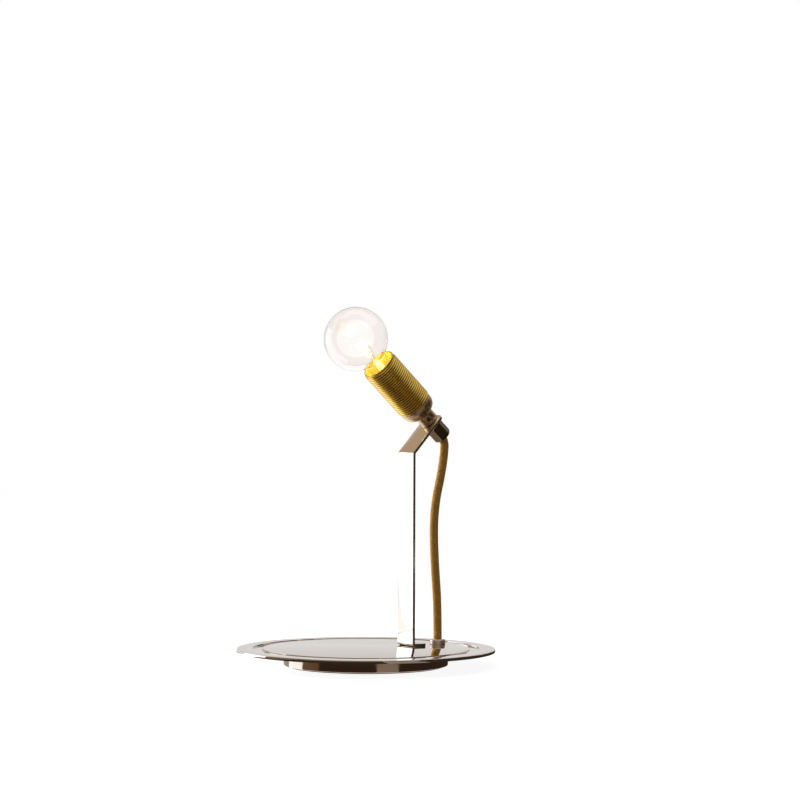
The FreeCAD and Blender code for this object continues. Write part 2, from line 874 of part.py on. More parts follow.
def grub_form(radius, outer):
    direction = vec(*polar(1.0, grub_turn), 0)
    start = nipple_radius + grub_sink
    return Part.makeCylinder(radius, outer - start, direction * start + vec(0, 0, grub_height), direction)


def cap_grub_screw():
    return grub_form(grub_radius, neck_radius - grub_sink)


def holder_barrel():
    """The threaded sleeve: its profile is one rib after another from the cap to the lip."""
    rib_start = barrel_start + barrel_relief
    rib_count = int((barrel_length - barrel_relief - lip_height) / rib_pitch)
    slope = (rib_pitch - 2.0 * rib_flat) / 2.0
    steps = [(barrel_root_radius, barrel_start), (barrel_root_radius, rib_start)]
    for i in range(rib_count):
        foot = rib_start + i * rib_pitch
        steps.append((barrel_crest_radius, foot + slope))
        steps.append((barrel_crest_radius, foot + slope + rib_flat))
        steps.append((barrel_root_radius, foot + 2.0 * slope + rib_flat))
        if i < rib_count - 1:
            steps.append((barrel_root_radius, foot + rib_pitch))
    lip_radius = barrel_root_radius + lip_rise
    steps.append((lip_radius, barrel_end - lip_height))
    steps.append((lip_radius, barrel_end - lip_chamfer))
    steps.append((lip_radius - lip_chamfer, barrel_end))
    steps.append((barrel_inner_radius, barrel_end))
    steps.append((barrel_inner_radius, core_flange_top + slip_gap + ledge_thickness))
    steps.append((ledge_radius, core_flange_top + slip_gap + ledge_thickness))
    steps.append((ledge_radius, core_flange_top + slip_gap))
    steps.append((barrel_inner_radius, core_flange_top + slip_gap))
    return turned((barrel_inner_radius, barrel_start), *steps)


def terminal_places():
    return [(-terminal_offset, 0.0), (terminal_offset, 0.0)]


def ceramic_core():
    flange_radius = spigot_radius - slip_gap
    core = turned(
        (0.0, core_start),
        (flange_radius, core_start),
        (flange_radius, core_flange_top),
        (core_tube_radius, core_flange_top),
        (core_tube_radius, core_top),
        (core_bore_radius, core_top),
        (core_bore_radius, core_floor_top),
        (0.0, core_floor_top),
    )
    for x, y in terminal_places():
        hole_top = core_start + core_screw_hole_depth
        core = core.cut(disc(terminal_shank_radius + thread_gap, core_start - 1, hole_top, x, y))
    return core


def screw_shell():
    r = shell_inner_radius
    outer = r + shell_thickness
    return turned(
        (r, core_floor_top + shell_foot_gap),
        (outer, core_floor_top + shell_foot_gap),
        (outer, core_top),
        (outer + shell_bead, core_top),
        (outer + shell_bead, core_top + 2.0 * shell_thickness),
        (r, core_top + 2.0 * shell_thickness),
    )


def centre_contact():
    t = contact_thickness
    rise = contact_top - t
    bend = contact_reach - contact_foot_length
    top_bend = contact_reach - contact_rise_start
    corners = [
        (contact_reach, core_floor_top),
        (contact_reach, core_floor_top + t),
        (bend, core_floor_top + t),
        (top_bend, contact_top),
        (-contact_tongue_end, contact_top),
        (-contact_tongue_end, rise),
        (top_bend - t / 4.0, rise),
        (bend - 3.0 * t / 4.0, core_floor_top),
    ]
    points = [vec(x, -contact_width / 2.0, z) for x, z in corners + corners[:1]]
    return Part.Face(Part.makePolygon(points)).extrude(vec(0, contact_width, 0))


def core_terminal_screws():
    screws = []
    for x, y in terminal_places():
        head = disc(terminal_screw_radius, core_start - terminal_screw_height, core_start, x, y)
        shank = disc(terminal_shank_radius, core_start, core_start + terminal_shank_length, x, y)
        screws.append(head.fuse(shank).removeSplitter())
    return Part.makeCompound(screws)


def holder_wires():
    end = core_start - terminal_screw_height
    wires = []
    for side in (-1.0, 1.0):
        points = [
            vec(side * holder_wire_spread, 0, grip_seat),
            vec(side * holder_wire_spread, 0, end - holder_wire_splay_start),
            vec(side * terminal_offset, 0, end - holder_wire_splay_end),
            vec(side * terminal_offset, 0, end),
        ]
        wires.append(tube_along("holder_wire", points, holder_wire_radius))
    return Part.makeCompound(wires)


# ---------------------------------------------------------------- bulb, drawn upright
def bulb_contact_tip():
    return turned(
        (0.0, tip_start),
        ((tip_radius * 0.75, tip_start + tip_height * 0.28), (tip_radius, tip_start + tip_height)),
        (0.0, insulator_start),
    )


def bulb_insulator():
    return turned(
        (0.0, insulator_start),
        (insulator_small_radius, insulator_start),
        (cap_inner_radius - slip_gap, screw_start),
        (0.0, screw_start),
    )


def bulb_screw_cap():
    outer = cap_screw_radius
    hole = insulator_small_radius + cap_floor_hole
    return turned(
        (hole, screw_start),
        (outer - cap_edge_chamfer, screw_start),
        (outer, screw_start + cap_edge_chamfer),
        (outer, screw_end),
        (cap_inner_radius, screw_end),
        (cap_inner_radius, screw_start + cap_floor),
        (hole, screw_start + cap_floor),
    )


def globe_profile(inset, low):
    """The sphere, a hollow fillet, and the tapering neck that the screw cap holds."""
    radius = bulb_radius - inset
    hollow_x = neck_glass_radius + neck_fillet_radius
    hollow_drop = math.sqrt((bulb_radius + neck_fillet_radius) ** 2 - hollow_x ** 2)
    hollow = (hollow_x, bulb_centre_height - hollow_drop)
    hollow_radius = neck_fillet_radius + inset
    centre = (0.0, bulb_centre_height)
    below = math.degrees(math.atan2(hollow_drop, hollow_x))
    held = cap_inner_radius - glass_cap_gap - inset
    return [
        (held, low),
        (held, screw_end + glass_taper_start),
        (neck_glass_radius - inset, hollow[1]),
        (circle_point(hollow, hollow_radius, 180 - below / 2), circle_point(centre, radius, -below)),
        (circle_point(centre, radius, -below / 2), (radius, bulb_centre_height)),
        (circle_point(centre, radius, 45), (0.0, bulb_centre_height + radius)),
    ]


def bulb_globe():
    outer = globe_profile(0.0, glass_start)
    inner = globe_profile(glass_wall, glass_start - 1.0)
    solid = turned((0.0, glass_start), *outer)
    hollow = turned((0.0, glass_start - 1.0), *inner)
    return solid.cut(hollow)


def bulb_stem():
    flare = cap_inner_radius - glass_cap_gap - glass_wall - thread_gap
    top = glass_start + stem_height
    middle = (stem_radius + stem_foot_height, glass_start + stem_neck_height / 2.0)
    return turned(
        (0.0, glass_start),
        (flare, glass_start),
        (flare, glass_start + stem_foot_height),
        (middle, (stem_radius, glass_start + stem_neck_height)),
        (stem_radius, top - stem_pinch_height),
        (stem_radius * stem_pinch_share, top),
        (0.0, top),
    )


def lead_foot():
    return glass_start + stem_height


def bulb_lead_wires():
    wires = []
    for side in (-1.0, 1.0):
        points = [
            vec(side * stem_radius * lead_root_share, 0, lead_foot()),
            vec(side * stem_radius * lead_root_share, 0, lead_foot() + lead_straight_start),
            vec(side * lead_spread, 0, lead_foot() + lead_height - lead_straight_end),
            vec(side * lead_spread, 0, lead_foot() + lead_height),
        ]
        wires.append(tube_along("bulb_lead_wire", points, lead_radius))
    return Part.makeCompound(wires)


def bulb_filament():
    z = lead_foot() + lead_height + filament_radius
    start = vec(-lead_spread - filament_overhang, 0, z)
    end = vec(lead_spread + filament_overhang, 0, z)
    path = Part.Wire(Part.Arc(start, vec(0, 0, z + filament_rise), end).toShape())
    first = path.Edges[0]
    direction = first.tangentAt(first.FirstParameter)
    section = Part.Wire(Part.makeCircle(filament_radius, start, direction))
    return path.makePipeShell([section], True, False)


# ---------------------------------------------------------------- every piece, by the name of its node
upright_pieces = {
    "entry_nipple": entry_nipple,
    "arm_lock_washer": arm_lock_washer,
    "cord_grip": cord_grip,
    "cord_grip_insert": cord_grip_insert,
    "holder_cap": holder_cap,
    "cap_grub_screw": cap_grub_screw,
    "holder_barrel": holder_barrel,
    "ceramic_core": ceramic_core,
    "screw_shell": screw_shell,
    "centre_contact": centre_contact,
    "core_terminal_screws": core_terminal_screws,
    "holder_wires": holder_wires,
    "bulb_contact_tip": bulb_contact_tip,
    "bulb_insulator": bulb_insulator,
    "bulb_screw_cap": bulb_screw_cap,
    "bulb_globe": bulb_globe,
    "bulb_stem": bulb_stem,
    "bulb_lead_wires": bulb_lead_wires,
    "bulb_filament": bulb_filament,
}
placed_pieces = {
    "base_plate": base_plate,
    "foot_casing": foot_casing,
    "ballast_weight": ballast_weight,
    "plate_nuts": plate_nuts,
    "plate_washers": plate_washers,
    "earth_tag": earth_tag,
    "bottom_cover": bottom_cover,
    "cover_screws": cover_screws,
    "felt_pad": felt_pad,
    "mains_outlet_bush": mains_outlet_bush,
    "post_strap": post_strap,
    "strap_screws": strap_screws,
    "strap_washers": strap_washers,
    "cord_bush": cord_bush,
    "cord_bush_nut": cord_bush_nut,
    "lamp_cord": lamp_cord,
    "live_wire": live_wire,
    "neutral_wire": neutral_wire,
    "earth_wire": earth_wire,
    "terminal_block": terminal_block,
    "terminal_sleeves": terminal_sleeves,
    "terminal_screws": terminal_screws,
    "block_screw": block_screw,
}

os.makedirs("parts", exist_ok=True)
for name, make in placed_pieces.items():
    make().exportStep(f"parts/{name}.step")
for name, make in upright_pieces.items():
    on_arm(make()).exportStep(f"parts/{name}.step")
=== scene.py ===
"""Bare bulb table lamp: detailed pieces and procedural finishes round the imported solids.

Sizes are millimetres on the drawing classes and metres in the scene. Pieces of the lampholder
and the bulb are drawn upright on their own axis and then leaned onto the arm.
"""

import json
import logging
import math
from dataclasses import asdict, dataclass
from enum import Enum
from functools import partial
from typing import Any, Iterable, Sequence

import bmesh
import bpy
from mathutils import Matrix, Vector


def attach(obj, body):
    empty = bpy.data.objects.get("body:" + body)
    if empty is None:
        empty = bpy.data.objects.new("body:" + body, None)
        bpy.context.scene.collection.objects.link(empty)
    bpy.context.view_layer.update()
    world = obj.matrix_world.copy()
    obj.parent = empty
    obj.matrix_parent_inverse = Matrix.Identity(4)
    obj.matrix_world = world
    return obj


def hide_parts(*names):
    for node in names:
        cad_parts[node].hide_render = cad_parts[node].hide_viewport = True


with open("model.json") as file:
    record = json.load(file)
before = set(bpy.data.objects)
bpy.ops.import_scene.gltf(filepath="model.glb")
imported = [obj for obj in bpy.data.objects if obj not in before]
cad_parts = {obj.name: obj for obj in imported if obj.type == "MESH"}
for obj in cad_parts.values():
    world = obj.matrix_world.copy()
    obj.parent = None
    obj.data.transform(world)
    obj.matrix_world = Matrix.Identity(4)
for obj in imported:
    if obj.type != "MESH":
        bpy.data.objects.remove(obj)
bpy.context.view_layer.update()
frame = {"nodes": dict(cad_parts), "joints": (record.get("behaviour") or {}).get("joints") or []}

Point = tuple[float, float]
Place = tuple[float, float, float]
Colour = tuple[float, float, float]
Mesh = bmesh.types.BMesh
Socket = bpy.types.NodeSocket
Thing = bpy.types.Object
Material = bpy.types.Material
MM = 0.001
TURN = 2.0 * math.pi
IMAGE_PIXELS = 800.0
SENSOR = 36.0
EVEN: Place = (1.0, 1.0, 1.0)
WHITE = (1.0, 1.0, 1.0, 1.0)
HOLDER_JOINT = next(joint for joint in frame["joints"] if joint["name"] == "bulb_turn")
HOLDER_PLACE: Place = tuple(HOLDER_JOINT["pos_m"])
HOLDER_AXIS: Place = tuple(HOLDER_JOINT["axis"])
logging.basicConfig(level=logging.INFO, format="%(name)s: %(message)s")
log = logging.getLogger("lamp")


# ------------------------------------------------------------------ node graphs
class Term:
    """A value inside a node tree; arithmetic on it adds math nodes to the tree."""

    def __init__(self, graph: "Graph", socket: Socket) -> None:
        """Holds an output socket and the graph that it belongs to."""
        self.graph = graph
        self.socket = socket

    def __add__(self, other: Any) -> "Term":
        """The sum of two values."""
        return self.graph.math("ADD", self, other)

    def __sub__(self, other: Any) -> "Term":
        """This value less another."""
        return self.graph.math("SUBTRACT", self, other)

    def __rsub__(self, other: float) -> "Term":
        """A plain number less this value."""
        return self.graph.math("SUBTRACT", other, self)

    def __mul__(self, other: Any) -> "Term":
        """The product of two values."""
        return self.graph.math("MULTIPLY", self, other)

    def __truediv__(self, other: Any) -> "Term":
        """This value divided by another."""
        return self.graph.math("DIVIDE", self, other)


class Graph:
    """A node tree being built, with short calls that add nodes and join them."""

    def __init__(self, tree: bpy.types.NodeTree) -> None:
        """Starts with an empty tree.

        Args:
            tree: the shader or geometry tree to fill.
        """
        self.tree = tree
        tree.nodes.clear()

    def add(self, kind: str, *values: Any, settings: dict[str, Any] | None = None, **named: Any) -> bpy.types.Node:
        """Adds a node and fills its inputs.

        Args:
            kind: the node's type name.
            values: inputs in order; a socket is joined, a plain value is set, None is left.
            settings: properties of the node itself.
            named: inputs by name, with _ for a space.

        Returns:
            The new node.
        """
        node = self.tree.nodes.new(kind)
        for key, value in (settings or {}).items():
            setattr(node, key, value)
        for socket, value in zip(node.inputs, values):
            self.feed(socket, value)
        for key, value in named.items():
            self.feed(node.inputs[key.replace("_", " ")], value)
        return node

    def feed(self, socket: Socket, value: Any) -> None:
        """Joins a socket to an input, or sets the input's own value.

        Args:
            socket: the input to fill.
            value: a term, another node's output, a plain value, or None to leave it.
        """
        if isinstance(value, Term):
            value = value.socket
        if isinstance(value, Socket):
            self.tree.links.new(value, socket)
        elif value is not None:
            socket.default_value = value

    def math(self, operation: str, a: Any, b: Any = None, clamp: bool = False) -> Term:
        """Adds a math node and returns its result."""
        node = self.add("ShaderNodeMath", a, b, settings={"operation": operation, "use_clamp": clamp})
        return Term(self, node.outputs[0])

    def vector_math(self, operation: str, a: Any, b: Any = None, scale: Any = None) -> Socket:
        """Adds a vector math node and returns its vector, or its value where it has no vector.

        Args:
            operation: the node's operation.
            a: the first input.
            b: the second input, where it has one.
            scale: the factor of a SCALE.

        Returns:
            The node's output.
        """
        node = self.add("ShaderNodeVectorMath", a, b, settings={"operation": operation})
        if scale is not None:
            self.feed(node.inputs["Scale"], scale)
        return node.outputs["Value" if operation in ("LENGTH", "DOT_PRODUCT") else "Vector"]

    def spread(self, value: Any, low: Any, high: Any, to_low: float, to_high: float, kind: str = "LINEAR") -> Term:
        """Maps a value from one range to another, clamped, and returns it."""
        node = self.add("ShaderNodeMapRange", value, low, high, to_low, to_high, settings={"interpolation_type": kind})
        return Term(self, node.outputs[0])


class FinishTree(Graph):
    """A material's tree, with the textures that the finishes share."""

    def __init__(self, name: str) -> None:
        """Makes the material and starts its tree on Object coordinates.

        Args:
            name: the material's name.
        """
        self.material = bpy.data.materials.new(name)
        self.material.use_nodes = True
        super().__init__(self.material.node_tree)
        self.place = self.add("ShaderNodeTexCoord").outputs["Object"]

    def noise(self, size: float, detail: float = 3.0, stretch: Place = EVEN) -> Term:
        """Cloudy noise whose patches are about `size` millimetres across.

        Args:
            size: patch size in millimetres.
            detail: octaves of finer noise.
            stretch: how much the pattern is squeezed along X, Y and Z.

        Returns:
            A value from 0 to 1.
        """
        where = self.add("ShaderNodeMapping", self.place, Scale=stretch).outputs[0]
        return Term(self, self.add("ShaderNodeTexNoise", where, Scale=1.0 / (size * MM), Detail=detail).outputs[0])

    def blend(self, amount: Any, low: Any, high: Any) -> Socket:
        """Mixes two colours and returns the result.

        Args:
            amount: how much of the second colour, from 0 to 1.
            low: the first colour.
            high: the second colour.

        Returns:
            The mixed colour.
        """
        node = self.add("ShaderNodeMix", settings={"data_type": "RGBA"})
        for key, value in (("Factor", amount), (6, rgba(low)), (7, rgba(high))):
            self.feed(node.inputs[key], value)
        return node.outputs[2]

    def holder_place(self) -> tuple[Term, Term]:
        """The distance from the lampholder's axis and the height along it, in metres.

        Returns:
            The distance and the height.
        """
        offset = self.vector_math("SUBTRACT", self.place, HOLDER_PLACE)
        across = self.vector_math("CROSS_PRODUCT", offset, HOLDER_AXIS)
        return (Term(self, self.vector_math("LENGTH", across)),
                Term(self, self.vector_math("DOT_PRODUCT", offset, HOLDER_AXIS)))

    def bump(self, height: Any, strength: float, depth: float) -> Socket:
        """Turns a height into a surface normal; depth is in millimetres."""
        return self.add("ShaderNodeBump", Strength=strength, Distance=depth * MM, Height=height).outputs[0]

    def close(self, kind: str = "ShaderNodeBsdfPrincipled", **sockets: Any) -> Material:
        """Ends the tree in one shader.

        Args:
            kind: the shader's type name.
            sockets: its inputs by name, with _ for a space.

        Returns:
            The finished material.
        """
        self.add("ShaderNodeOutputMaterial", self.add(kind, **sockets).outputs[0])
        return self.material


def rgba(value: Any) -> Any:
    """Adds an alpha of 1 to a plain colour.

    Args:
        value: a plain colour, or anything else that a node's input takes.

    Returns:
        The colour with its alpha, or the value as it is.
    """
    if isinstance(value, tuple) and len(value) == 3:
        return (*value, 1.0)
    return value


# ------------------------------------------------------------------ finishes
@dataclass(frozen=True)
class Finish:
    """A named procedural finish. Its material is made once and shared."""

    name: str

    def material(self) -> Material:
        """Returns the finish's material, making it at first use."""
        name = f"{self.name}_finish"
        return bpy.data.materials.get(name) or self.make(FinishTree(name))

    def make(self, tree: FinishTree) -> Material:
        """Fills the material's tree; each kind of finish has its own way."""
        raise NotImplementedError


@dataclass(frozen=True)
class MetalFinish(Finish):
    """Bare or plated metal: cloudy tarnish, hairline marks and brighter worn edges.

    `gloss` holds the least and greatest roughness, `marks` the size and depth of the hairlines in
    millimetres, and `grooves` the thread's root and crest, between which the painted shade in the thread's roots fades
    out, and its top.
    """

    colour: Colour
    tarnish: Colour
    tarnish_share: float = 0.4
    patch: float = 14.0
    gloss: Point = (0.10, 0.22)
    marks: Point = (0.6, 0.004)
    stretch: Place = EVEN
    edge_wear: float = 0.0
    worn: Colour = (0.9, 0.8, 0.6)
    grooves: Place | None = None
    # colour of the painted shade that darkens the thread's roots
    grime: Colour = (0.1, 0.06, 0.02)
    bore_roughness: float = 0.62

    def make(self, tree: FinishTree) -> Material:
        """Fills the metal's tree.

        Args:
            tree: the material's empty tree.

        Returns:
            The finished material.
        """
        cloud = tree.noise(self.patch, 4.0)
        marks = tree.noise(self.marks[0], 2.0, self.stretch)
        tone = tree.blend(tree.spread(cloud, 0.35, 0.70, 0.0, self.tarnish_share), self.colour, self.tarnish)
        if self.edge_wear:
            point = tree.add("ShaderNodeNewGeometry").outputs["Pointiness"]
            tone = tree.blend(tree.spread(point, 0.50, 0.56, 0.0, self.edge_wear), tone, self.worn)
        roughness = tree.spread(cloud * 0.6 + marks * 0.4, 0.3, 0.7, *self.gloss)
        # painted shade: the thread's roots are darkened, the bore and the lip are left unshaded
        if self.grooves:
            root, crest, top = (size * MM for size in self.grooves)
            radius, height = tree.holder_place()
            bore = tree.spread(radius, root - 0.6 * MM, root - 0.4 * MM, 1.0, 0.0)
            lip = tree.spread(height, top - 0.2 * MM, top, 0.0, 1.0)
            unshaded = tree.math("MAXIMUM", tree.math("MAXIMUM", bore, lip), tree.spread(radius, root, crest, 0.0, 1.0))
            tone = tree.blend(unshaded, self.grime, tone)
            roughness = tree.math("MAXIMUM", roughness, bore * self.bore_roughness)
        skin = tree.bump(marks, 0.35, self.marks[1])
        return tree.close(Base_Color=tone, Metallic=1.0, Roughness=roughness, Normal=skin)


@dataclass(frozen=True)
class MouldedFinish(Finish):
    """Plastic, rubber, porcelain or enamel: even colour with a faint mottle and a fine skin.

    `gloss` holds the least and greatest roughness, and `grain` its size and depth in millimetres.
    """

    colour: Colour
    shade: Colour
    gloss: Point = (0.35, 0.5)
    grain: Point = (0.5, 0.01)
    coat: float = 0.0

    def make(self, tree: FinishTree) -> Material:
        """Fills the moulded skin's tree.

        Args:
            tree: the material's empty tree.

        Returns:
            The finished material.
        """
        cloud = tree.noise(6.0, 3.0)
        grain = tree.noise(self.grain[0], 2.0)
        return tree.close(
            Base_Color=tree.blend(tree.spread(cloud, 0.35, 0.65, 0.0, 1.0), self.colour, self.shade),
            Roughness=tree.spread(grain, 0.3, 0.7, *self.gloss),
            Coat_Weight=self.coat, Coat_Roughness=0.08, Normal=tree.bump(grain, 0.4, self.grain[1]))


@dataclass(frozen=True)
class FeltFinish(Finish):
    """Pressed felt: short fibres every way, soft sheen and no gloss."""

    colour: Colour
    shade: Colour

    def make(self, tree: FinishTree) -> Material:
        """Fills the felt's tree.

        Args:
            tree: the material's empty tree.

        Returns:
            The finished material.
        """
        along, across = (tree.noise(0.5, 4.0, stretch) for stretch in ((1.0, 6.0, 1.0), (6.0, 1.0, 1.0)))
        fibre = tree.math("MAXIMUM", along, across)
        return tree.close(
            Base_Color=tree.blend(tree.spread(fibre, 0.45, 0.75, 0.0, 1.0), self.shade, self.colour),
            Roughness=0.95, Sheen_Weight=0.4, Sheen_Roughness=0.6, Normal=tree.bump(fibre, 0.8, 0.12))


@dataclass(frozen=True)
class BraidFinish(Finish):
    """Silky yarn: each strand its own tone, with twisted fibres along it."""

    bright: Colour
    deep: Colour
    accent: Colour

    def make(self, tree: FinishTree) -> Material:
        """Fills the yarn's tree.

        Args:
            tree: the material's empty tree.

        Returns:
            The finished material.
        """
        tone = tree.add("ShaderNodeAttribute", settings={"attribute_name": "strand_tone"}).outputs["Fac"]
        fibre = tree.noise(0.10, 2.0, (1.0, 1.0, 0.35))
        cloud = tree.noise(9.0, 2.0)
        base = tree.blend(tone, self.deep, self.bright)
        base = tree.blend(tree.spread(cloud, 0.40, 0.70, 0.0, 0.5), base, self.accent)
        base = tree.blend(tree.spread(fibre, 0.35, 0.65, 0.35, 0.0), base, self.deep)
        return tree.close(
            Base_Color=base, Roughness=tree.spread(fibre, 0.3, 0.7, 0.38, 0.60),
            Sheen_Weight=0.1, Sheen_Roughness=0.4, Normal=tree.bump(fibre, 0.6, 0.03))


@dataclass(frozen=True)
class GlassFinish(Finish):
    """Blown glass: clear, faintly tinted, with a slight waver, and an emission that is painted light: the filament's
    light caught in the glass.
    """

    tint: Colour
    edge: Colour
    roughness: float
    # colour and strength of the painted light: the filament's glow caught in the glass, not a lamp of its own
    glow: Colour = (1.0, 0.9, 0.8)
    glow_strength: float = 0.0
    waver: float = 0.02

    def make(self, tree: FinishTree) -> Material:
        """Fills the glass's tree: deeper in tone where the wall is looked along.

        Args:
            tree: the material's empty tree.

        Returns:
            The finished material.
        """
        cloud = tree.noise(18.0, 1.0)
        pale = tuple(0.985 * part for part in self.tint)
        along = tree.spread(tree.add("ShaderNodeLayerWeight", 0.5).outputs["Facing"], 0.80, 1.0, 0.0, 1.0)
        return tree.close(
            Base_Color=tree.blend(along, tree.blend(cloud, self.tint, pale), self.edge),
            Roughness=self.roughness, IOR=1.47, Transmission_Weight=1.0, Emission_Color=rgba(self.glow),
            Emission_Strength=self.glow_strength, Normal=tree.bump(cloud, 0.2, self.waver))


@dataclass(frozen=True)
class HotWireFinish(Finish):
    """A wire that glows: hotter along its middle, duller where it meets its leads."""

    colour: Colour
    heat: Colour
    strength: float
    dull: Colour = (1.0, 0.35, 0.08)
    half_length: float = 8.5

    def make(self, tree: FinishTree) -> Material:
        """Fills the glowing wire's tree.

        Args:
            tree: the material's empty tree.

        Returns:
            The finished material.
        """
        cloud = tree.noise(1.5, 2.0)
        x = tree.add("ShaderNodeSeparateXYZ", tree.place).outputs[0]
        middle = tree.spread(tree.math("ABSOLUTE", x), 0.0, self.half_length * MM, 1.0, 0.15)
        return tree.close(
            Base_Color=tree.blend(cloud, self.colour, self.heat), Metallic=1.0, Roughness=0.4,
            Emission_Color=tree.blend(middle, self.dull, self.heat), Emission_Strength=self.strength)


@dataclass(frozen=True)
class CardFinish(Finish):
    """An even glow, for what only shiny pieces see."""

    colour: Colour
    strength: float

    def make(self, tree: FinishTree) -> Material:
        """Fills the card's tree."""
        return tree.close("ShaderNodeEmission", Color=rgba(self.colour), Strength=self.strength)


class Finishes:
    """Every finish on the lamp."""

    plate = MetalFinish("plate_nickel", (0.71, 0.66, 0.625), (0.64, 0.575, 0.52), 0.35, 40.0, (0.035, 0.07),
                        (1.2, 0.0015))
    bar = MetalFinish("bar_nickel", (0.78, 0.72, 0.66), (0.70, 0.61, 0.52), 0.4, 22.0, (0.06, 0.12), (0.5, 0.002),
                      (1.0, 1.0, 0.08))
    foot = MetalFinish("foot_nickel", (0.62, 0.52, 0.44), (0.46, 0.36, 0.28), 0.5, 18.0, (0.07, 0.16), (0.8, 0.002),
                       (1.0, 1.0, 6.0))
    # the sleeve's thread roots carry painted shade
    sleeve = MetalFinish("sleeve_brass", (0.74, 0.52, 0.09), (0.60, 0.36, 0.07), 0.7, 9.0, (0.20, 0.30), (0.8, 0.0008),
                         grooves=(12.2, 12.75, 57.8), grime=(0.28, 0.17, 0.06))
    cap = MetalFinish("cap_brass", (0.74, 0.55, 0.33), (0.52, 0.37, 0.22), 0.8, 6.0, (0.28, 0.40), (0.8, 0.001))
    grip = MetalFinish("grip_bronze", (0.17, 0.115, 0.06), (0.115, 0.078, 0.040), 0.7, 5.0, (0.30, 0.42), (0.7, 0.001))
    grub = MetalFinish("grub_bronze", (0.20, 0.15, 0.09), (0.12, 0.09, 0.06), 0.7, 2.0, (0.40, 0.55))
    bush = MetalFinish("bush_nickel", (0.84, 0.75, 0.69), (0.70, 0.58, 0.48), 0.5, 4.0, (0.34, 0.46), (0.7, 0.002))
    small_brass = MetalFinish("turned_brass", (0.78, 0.60, 0.30), (0.55, 0.38, 0.17), 0.6, 5.0, (0.16, 0.30),
                              (0.4, 0.003), (1.0, 1.0, 5.0))
    steel = MetalFinish("zinc_steel", (0.60, 0.60, 0.62), (0.46, 0.46, 0.45), 0.7, 3.0, (0.22, 0.38), (0.4, 0.003),
                        edge_wear=0.3, worn=(0.75, 0.75, 0.76))
    shell = MetalFinish("shell_brass", (0.82, 0.64, 0.30), (0.60, 0.42, 0.18), 0.5, 6.0, (0.14, 0.26), (0.5, 0.003))
    screw_cap = MetalFinish("bulb_cap_brass", (0.83, 0.72, 0.46), (0.62, 0.50, 0.28), 0.5, 6.0, (0.15, 0.28),
                            (0.5, 0.003))
    solder = MetalFinish("solder", (0.64, 0.64, 0.63), (0.42, 0.42, 0.42), 0.8, 1.2, (0.30, 0.50), (0.35, 0.03))
    lead = MetalFinish("lead_wire_nickel", (0.58, 0.55, 0.50), (0.40, 0.36, 0.30), 0.5, 2.0, (0.25, 0.4))
    iron = MetalFinish("ballast_iron", (0.17, 0.17, 0.18), (0.10, 0.09, 0.09), 0.8, 5.0, (0.55, 0.75), (0.9, 0.12))
    cover = MouldedFinish("cover_enamel", (0.035, 0.035, 0.037), (0.05, 0.05, 0.05), grain=(0.4, 0.01))
    felt = FeltFinish("black_felt", (0.050, 0.048, 0.046), (0.018, 0.018, 0.018))
    block = MouldedFinish("block_nylon", (0.80, 0.78, 0.70), (0.70, 0.67, 0.58))
    rubber = MouldedFinish("outlet_rubber", (0.030, 0.030, 0.032), (0.05, 0.048, 0.046), (0.5, 0.7), (0.3, 0.02))
    insert = MouldedFinish("insert_nylon", (0.76, 0.73, 0.62), (0.64, 0.60, 0.48), (0.3, 0.45))
    brown_wire = MouldedFinish("wire_brown", (0.10, 0.035, 0.015), (0.14, 0.05, 0.022), (0.25, 0.4), (0.4, 0.005))
    blue_wire = MouldedFinish("wire_blue", (0.02, 0.09, 0.36), (0.03, 0.13, 0.45), (0.25, 0.4), (0.4, 0.005))
    green_wire = MouldedFinish("wire_earth", (0.12, 0.36, 0.03), (0.62, 0.56, 0.04), (0.25, 0.4), (0.4, 0.005))
    white_wire = MouldedFinish("wire_white", (0.70, 0.66, 0.58), (0.60, 0.56, 0.48), (0.3, 0.45), (0.4, 0.005))
    porcelain = MouldedFinish("porcelain", (0.86, 0.82, 0.72), (0.78, 0.72, 0.60), (0.22, 0.38), (1.2, 0.02), 0.3)
    insulator = MouldedFinish("cap_glass_black", (0.012, 0.012, 0.016), (0.03, 0.028, 0.035), (0.08, 0.16),
                              (0.6, 0.01), 0.5)
    braid = BraidFinish("gold_braid", (0.72, 0.39, 0.06), (0.32, 0.15, 0.022), (0.54, 0.30, 0.055))
    globe = GlassFinish("bulb_glass", (0.975, 0.942, 0.925), (0.84, 0.80, 0.78), 0.04)
    # the stem's emission is painted light from the filament
    stem = GlassFinish("stem_glass", (0.98, 0.93, 0.72), (0.90, 0.84, 0.60), 0.05, (1.0, 0.80, 0.33), 0.7)
    filament = HotWireFinish("hot_tungsten", (0.6, 0.45, 0.3), (1.0, 0.80, 0.45), 60.0)


# ------------------------------------------------------------------ shapes in millimetres
def filleted(corners: Sequence[Place], closed: bool = True, steps: int = 4) -> list[Point]:
    """Rounds the corners of an outline.

    Args:
        corners: (across, up, rounding) for each corner.
        closed: whether the last corner joins the first.
        steps: straight pieces in each rounding.

    Returns:
        The outline's points.
    """
    points: list[Point] = []
    count = len(corners)
    for i, (x, y, radius) in enumerate(corners):
        here = Vector((x, y))
        if radius <= 0.0 or (not closed and i in (0, count - 1)):
            points.append((x, y))
            continue
        before = Vector(corners[i - 1][:2]) - here
        after = Vector(corners[(i + 1) % count][:2]) - here
        half = before.angle(after) / 2.0
        if half > math.radians(89.0):
            points.append((x, y))
            continue
        reach = min(radius / math.tan(half), 0.49 * before.length, 0.49 * after.length)
        fitted = reach * math.tan(half)
        before.normalize()
        after.normalize()
        centre = here + (before + after).normalized() * (fitted / math.sin(half))
        first = here + before * reach - centre
        last = here + after * reach - centre
        start = math.atan2(first.y, first.x)
        sweep = math.atan2(last.y, last.x) - start
        sweep = (sweep + math.pi) % TURN - math.pi
        for k in range(steps + 1):
            angle = start + sweep * k / steps
            points.append((centre.x + fitted * math.cos(angle), centre.y + fitted * math.sin(angle)))
    return points


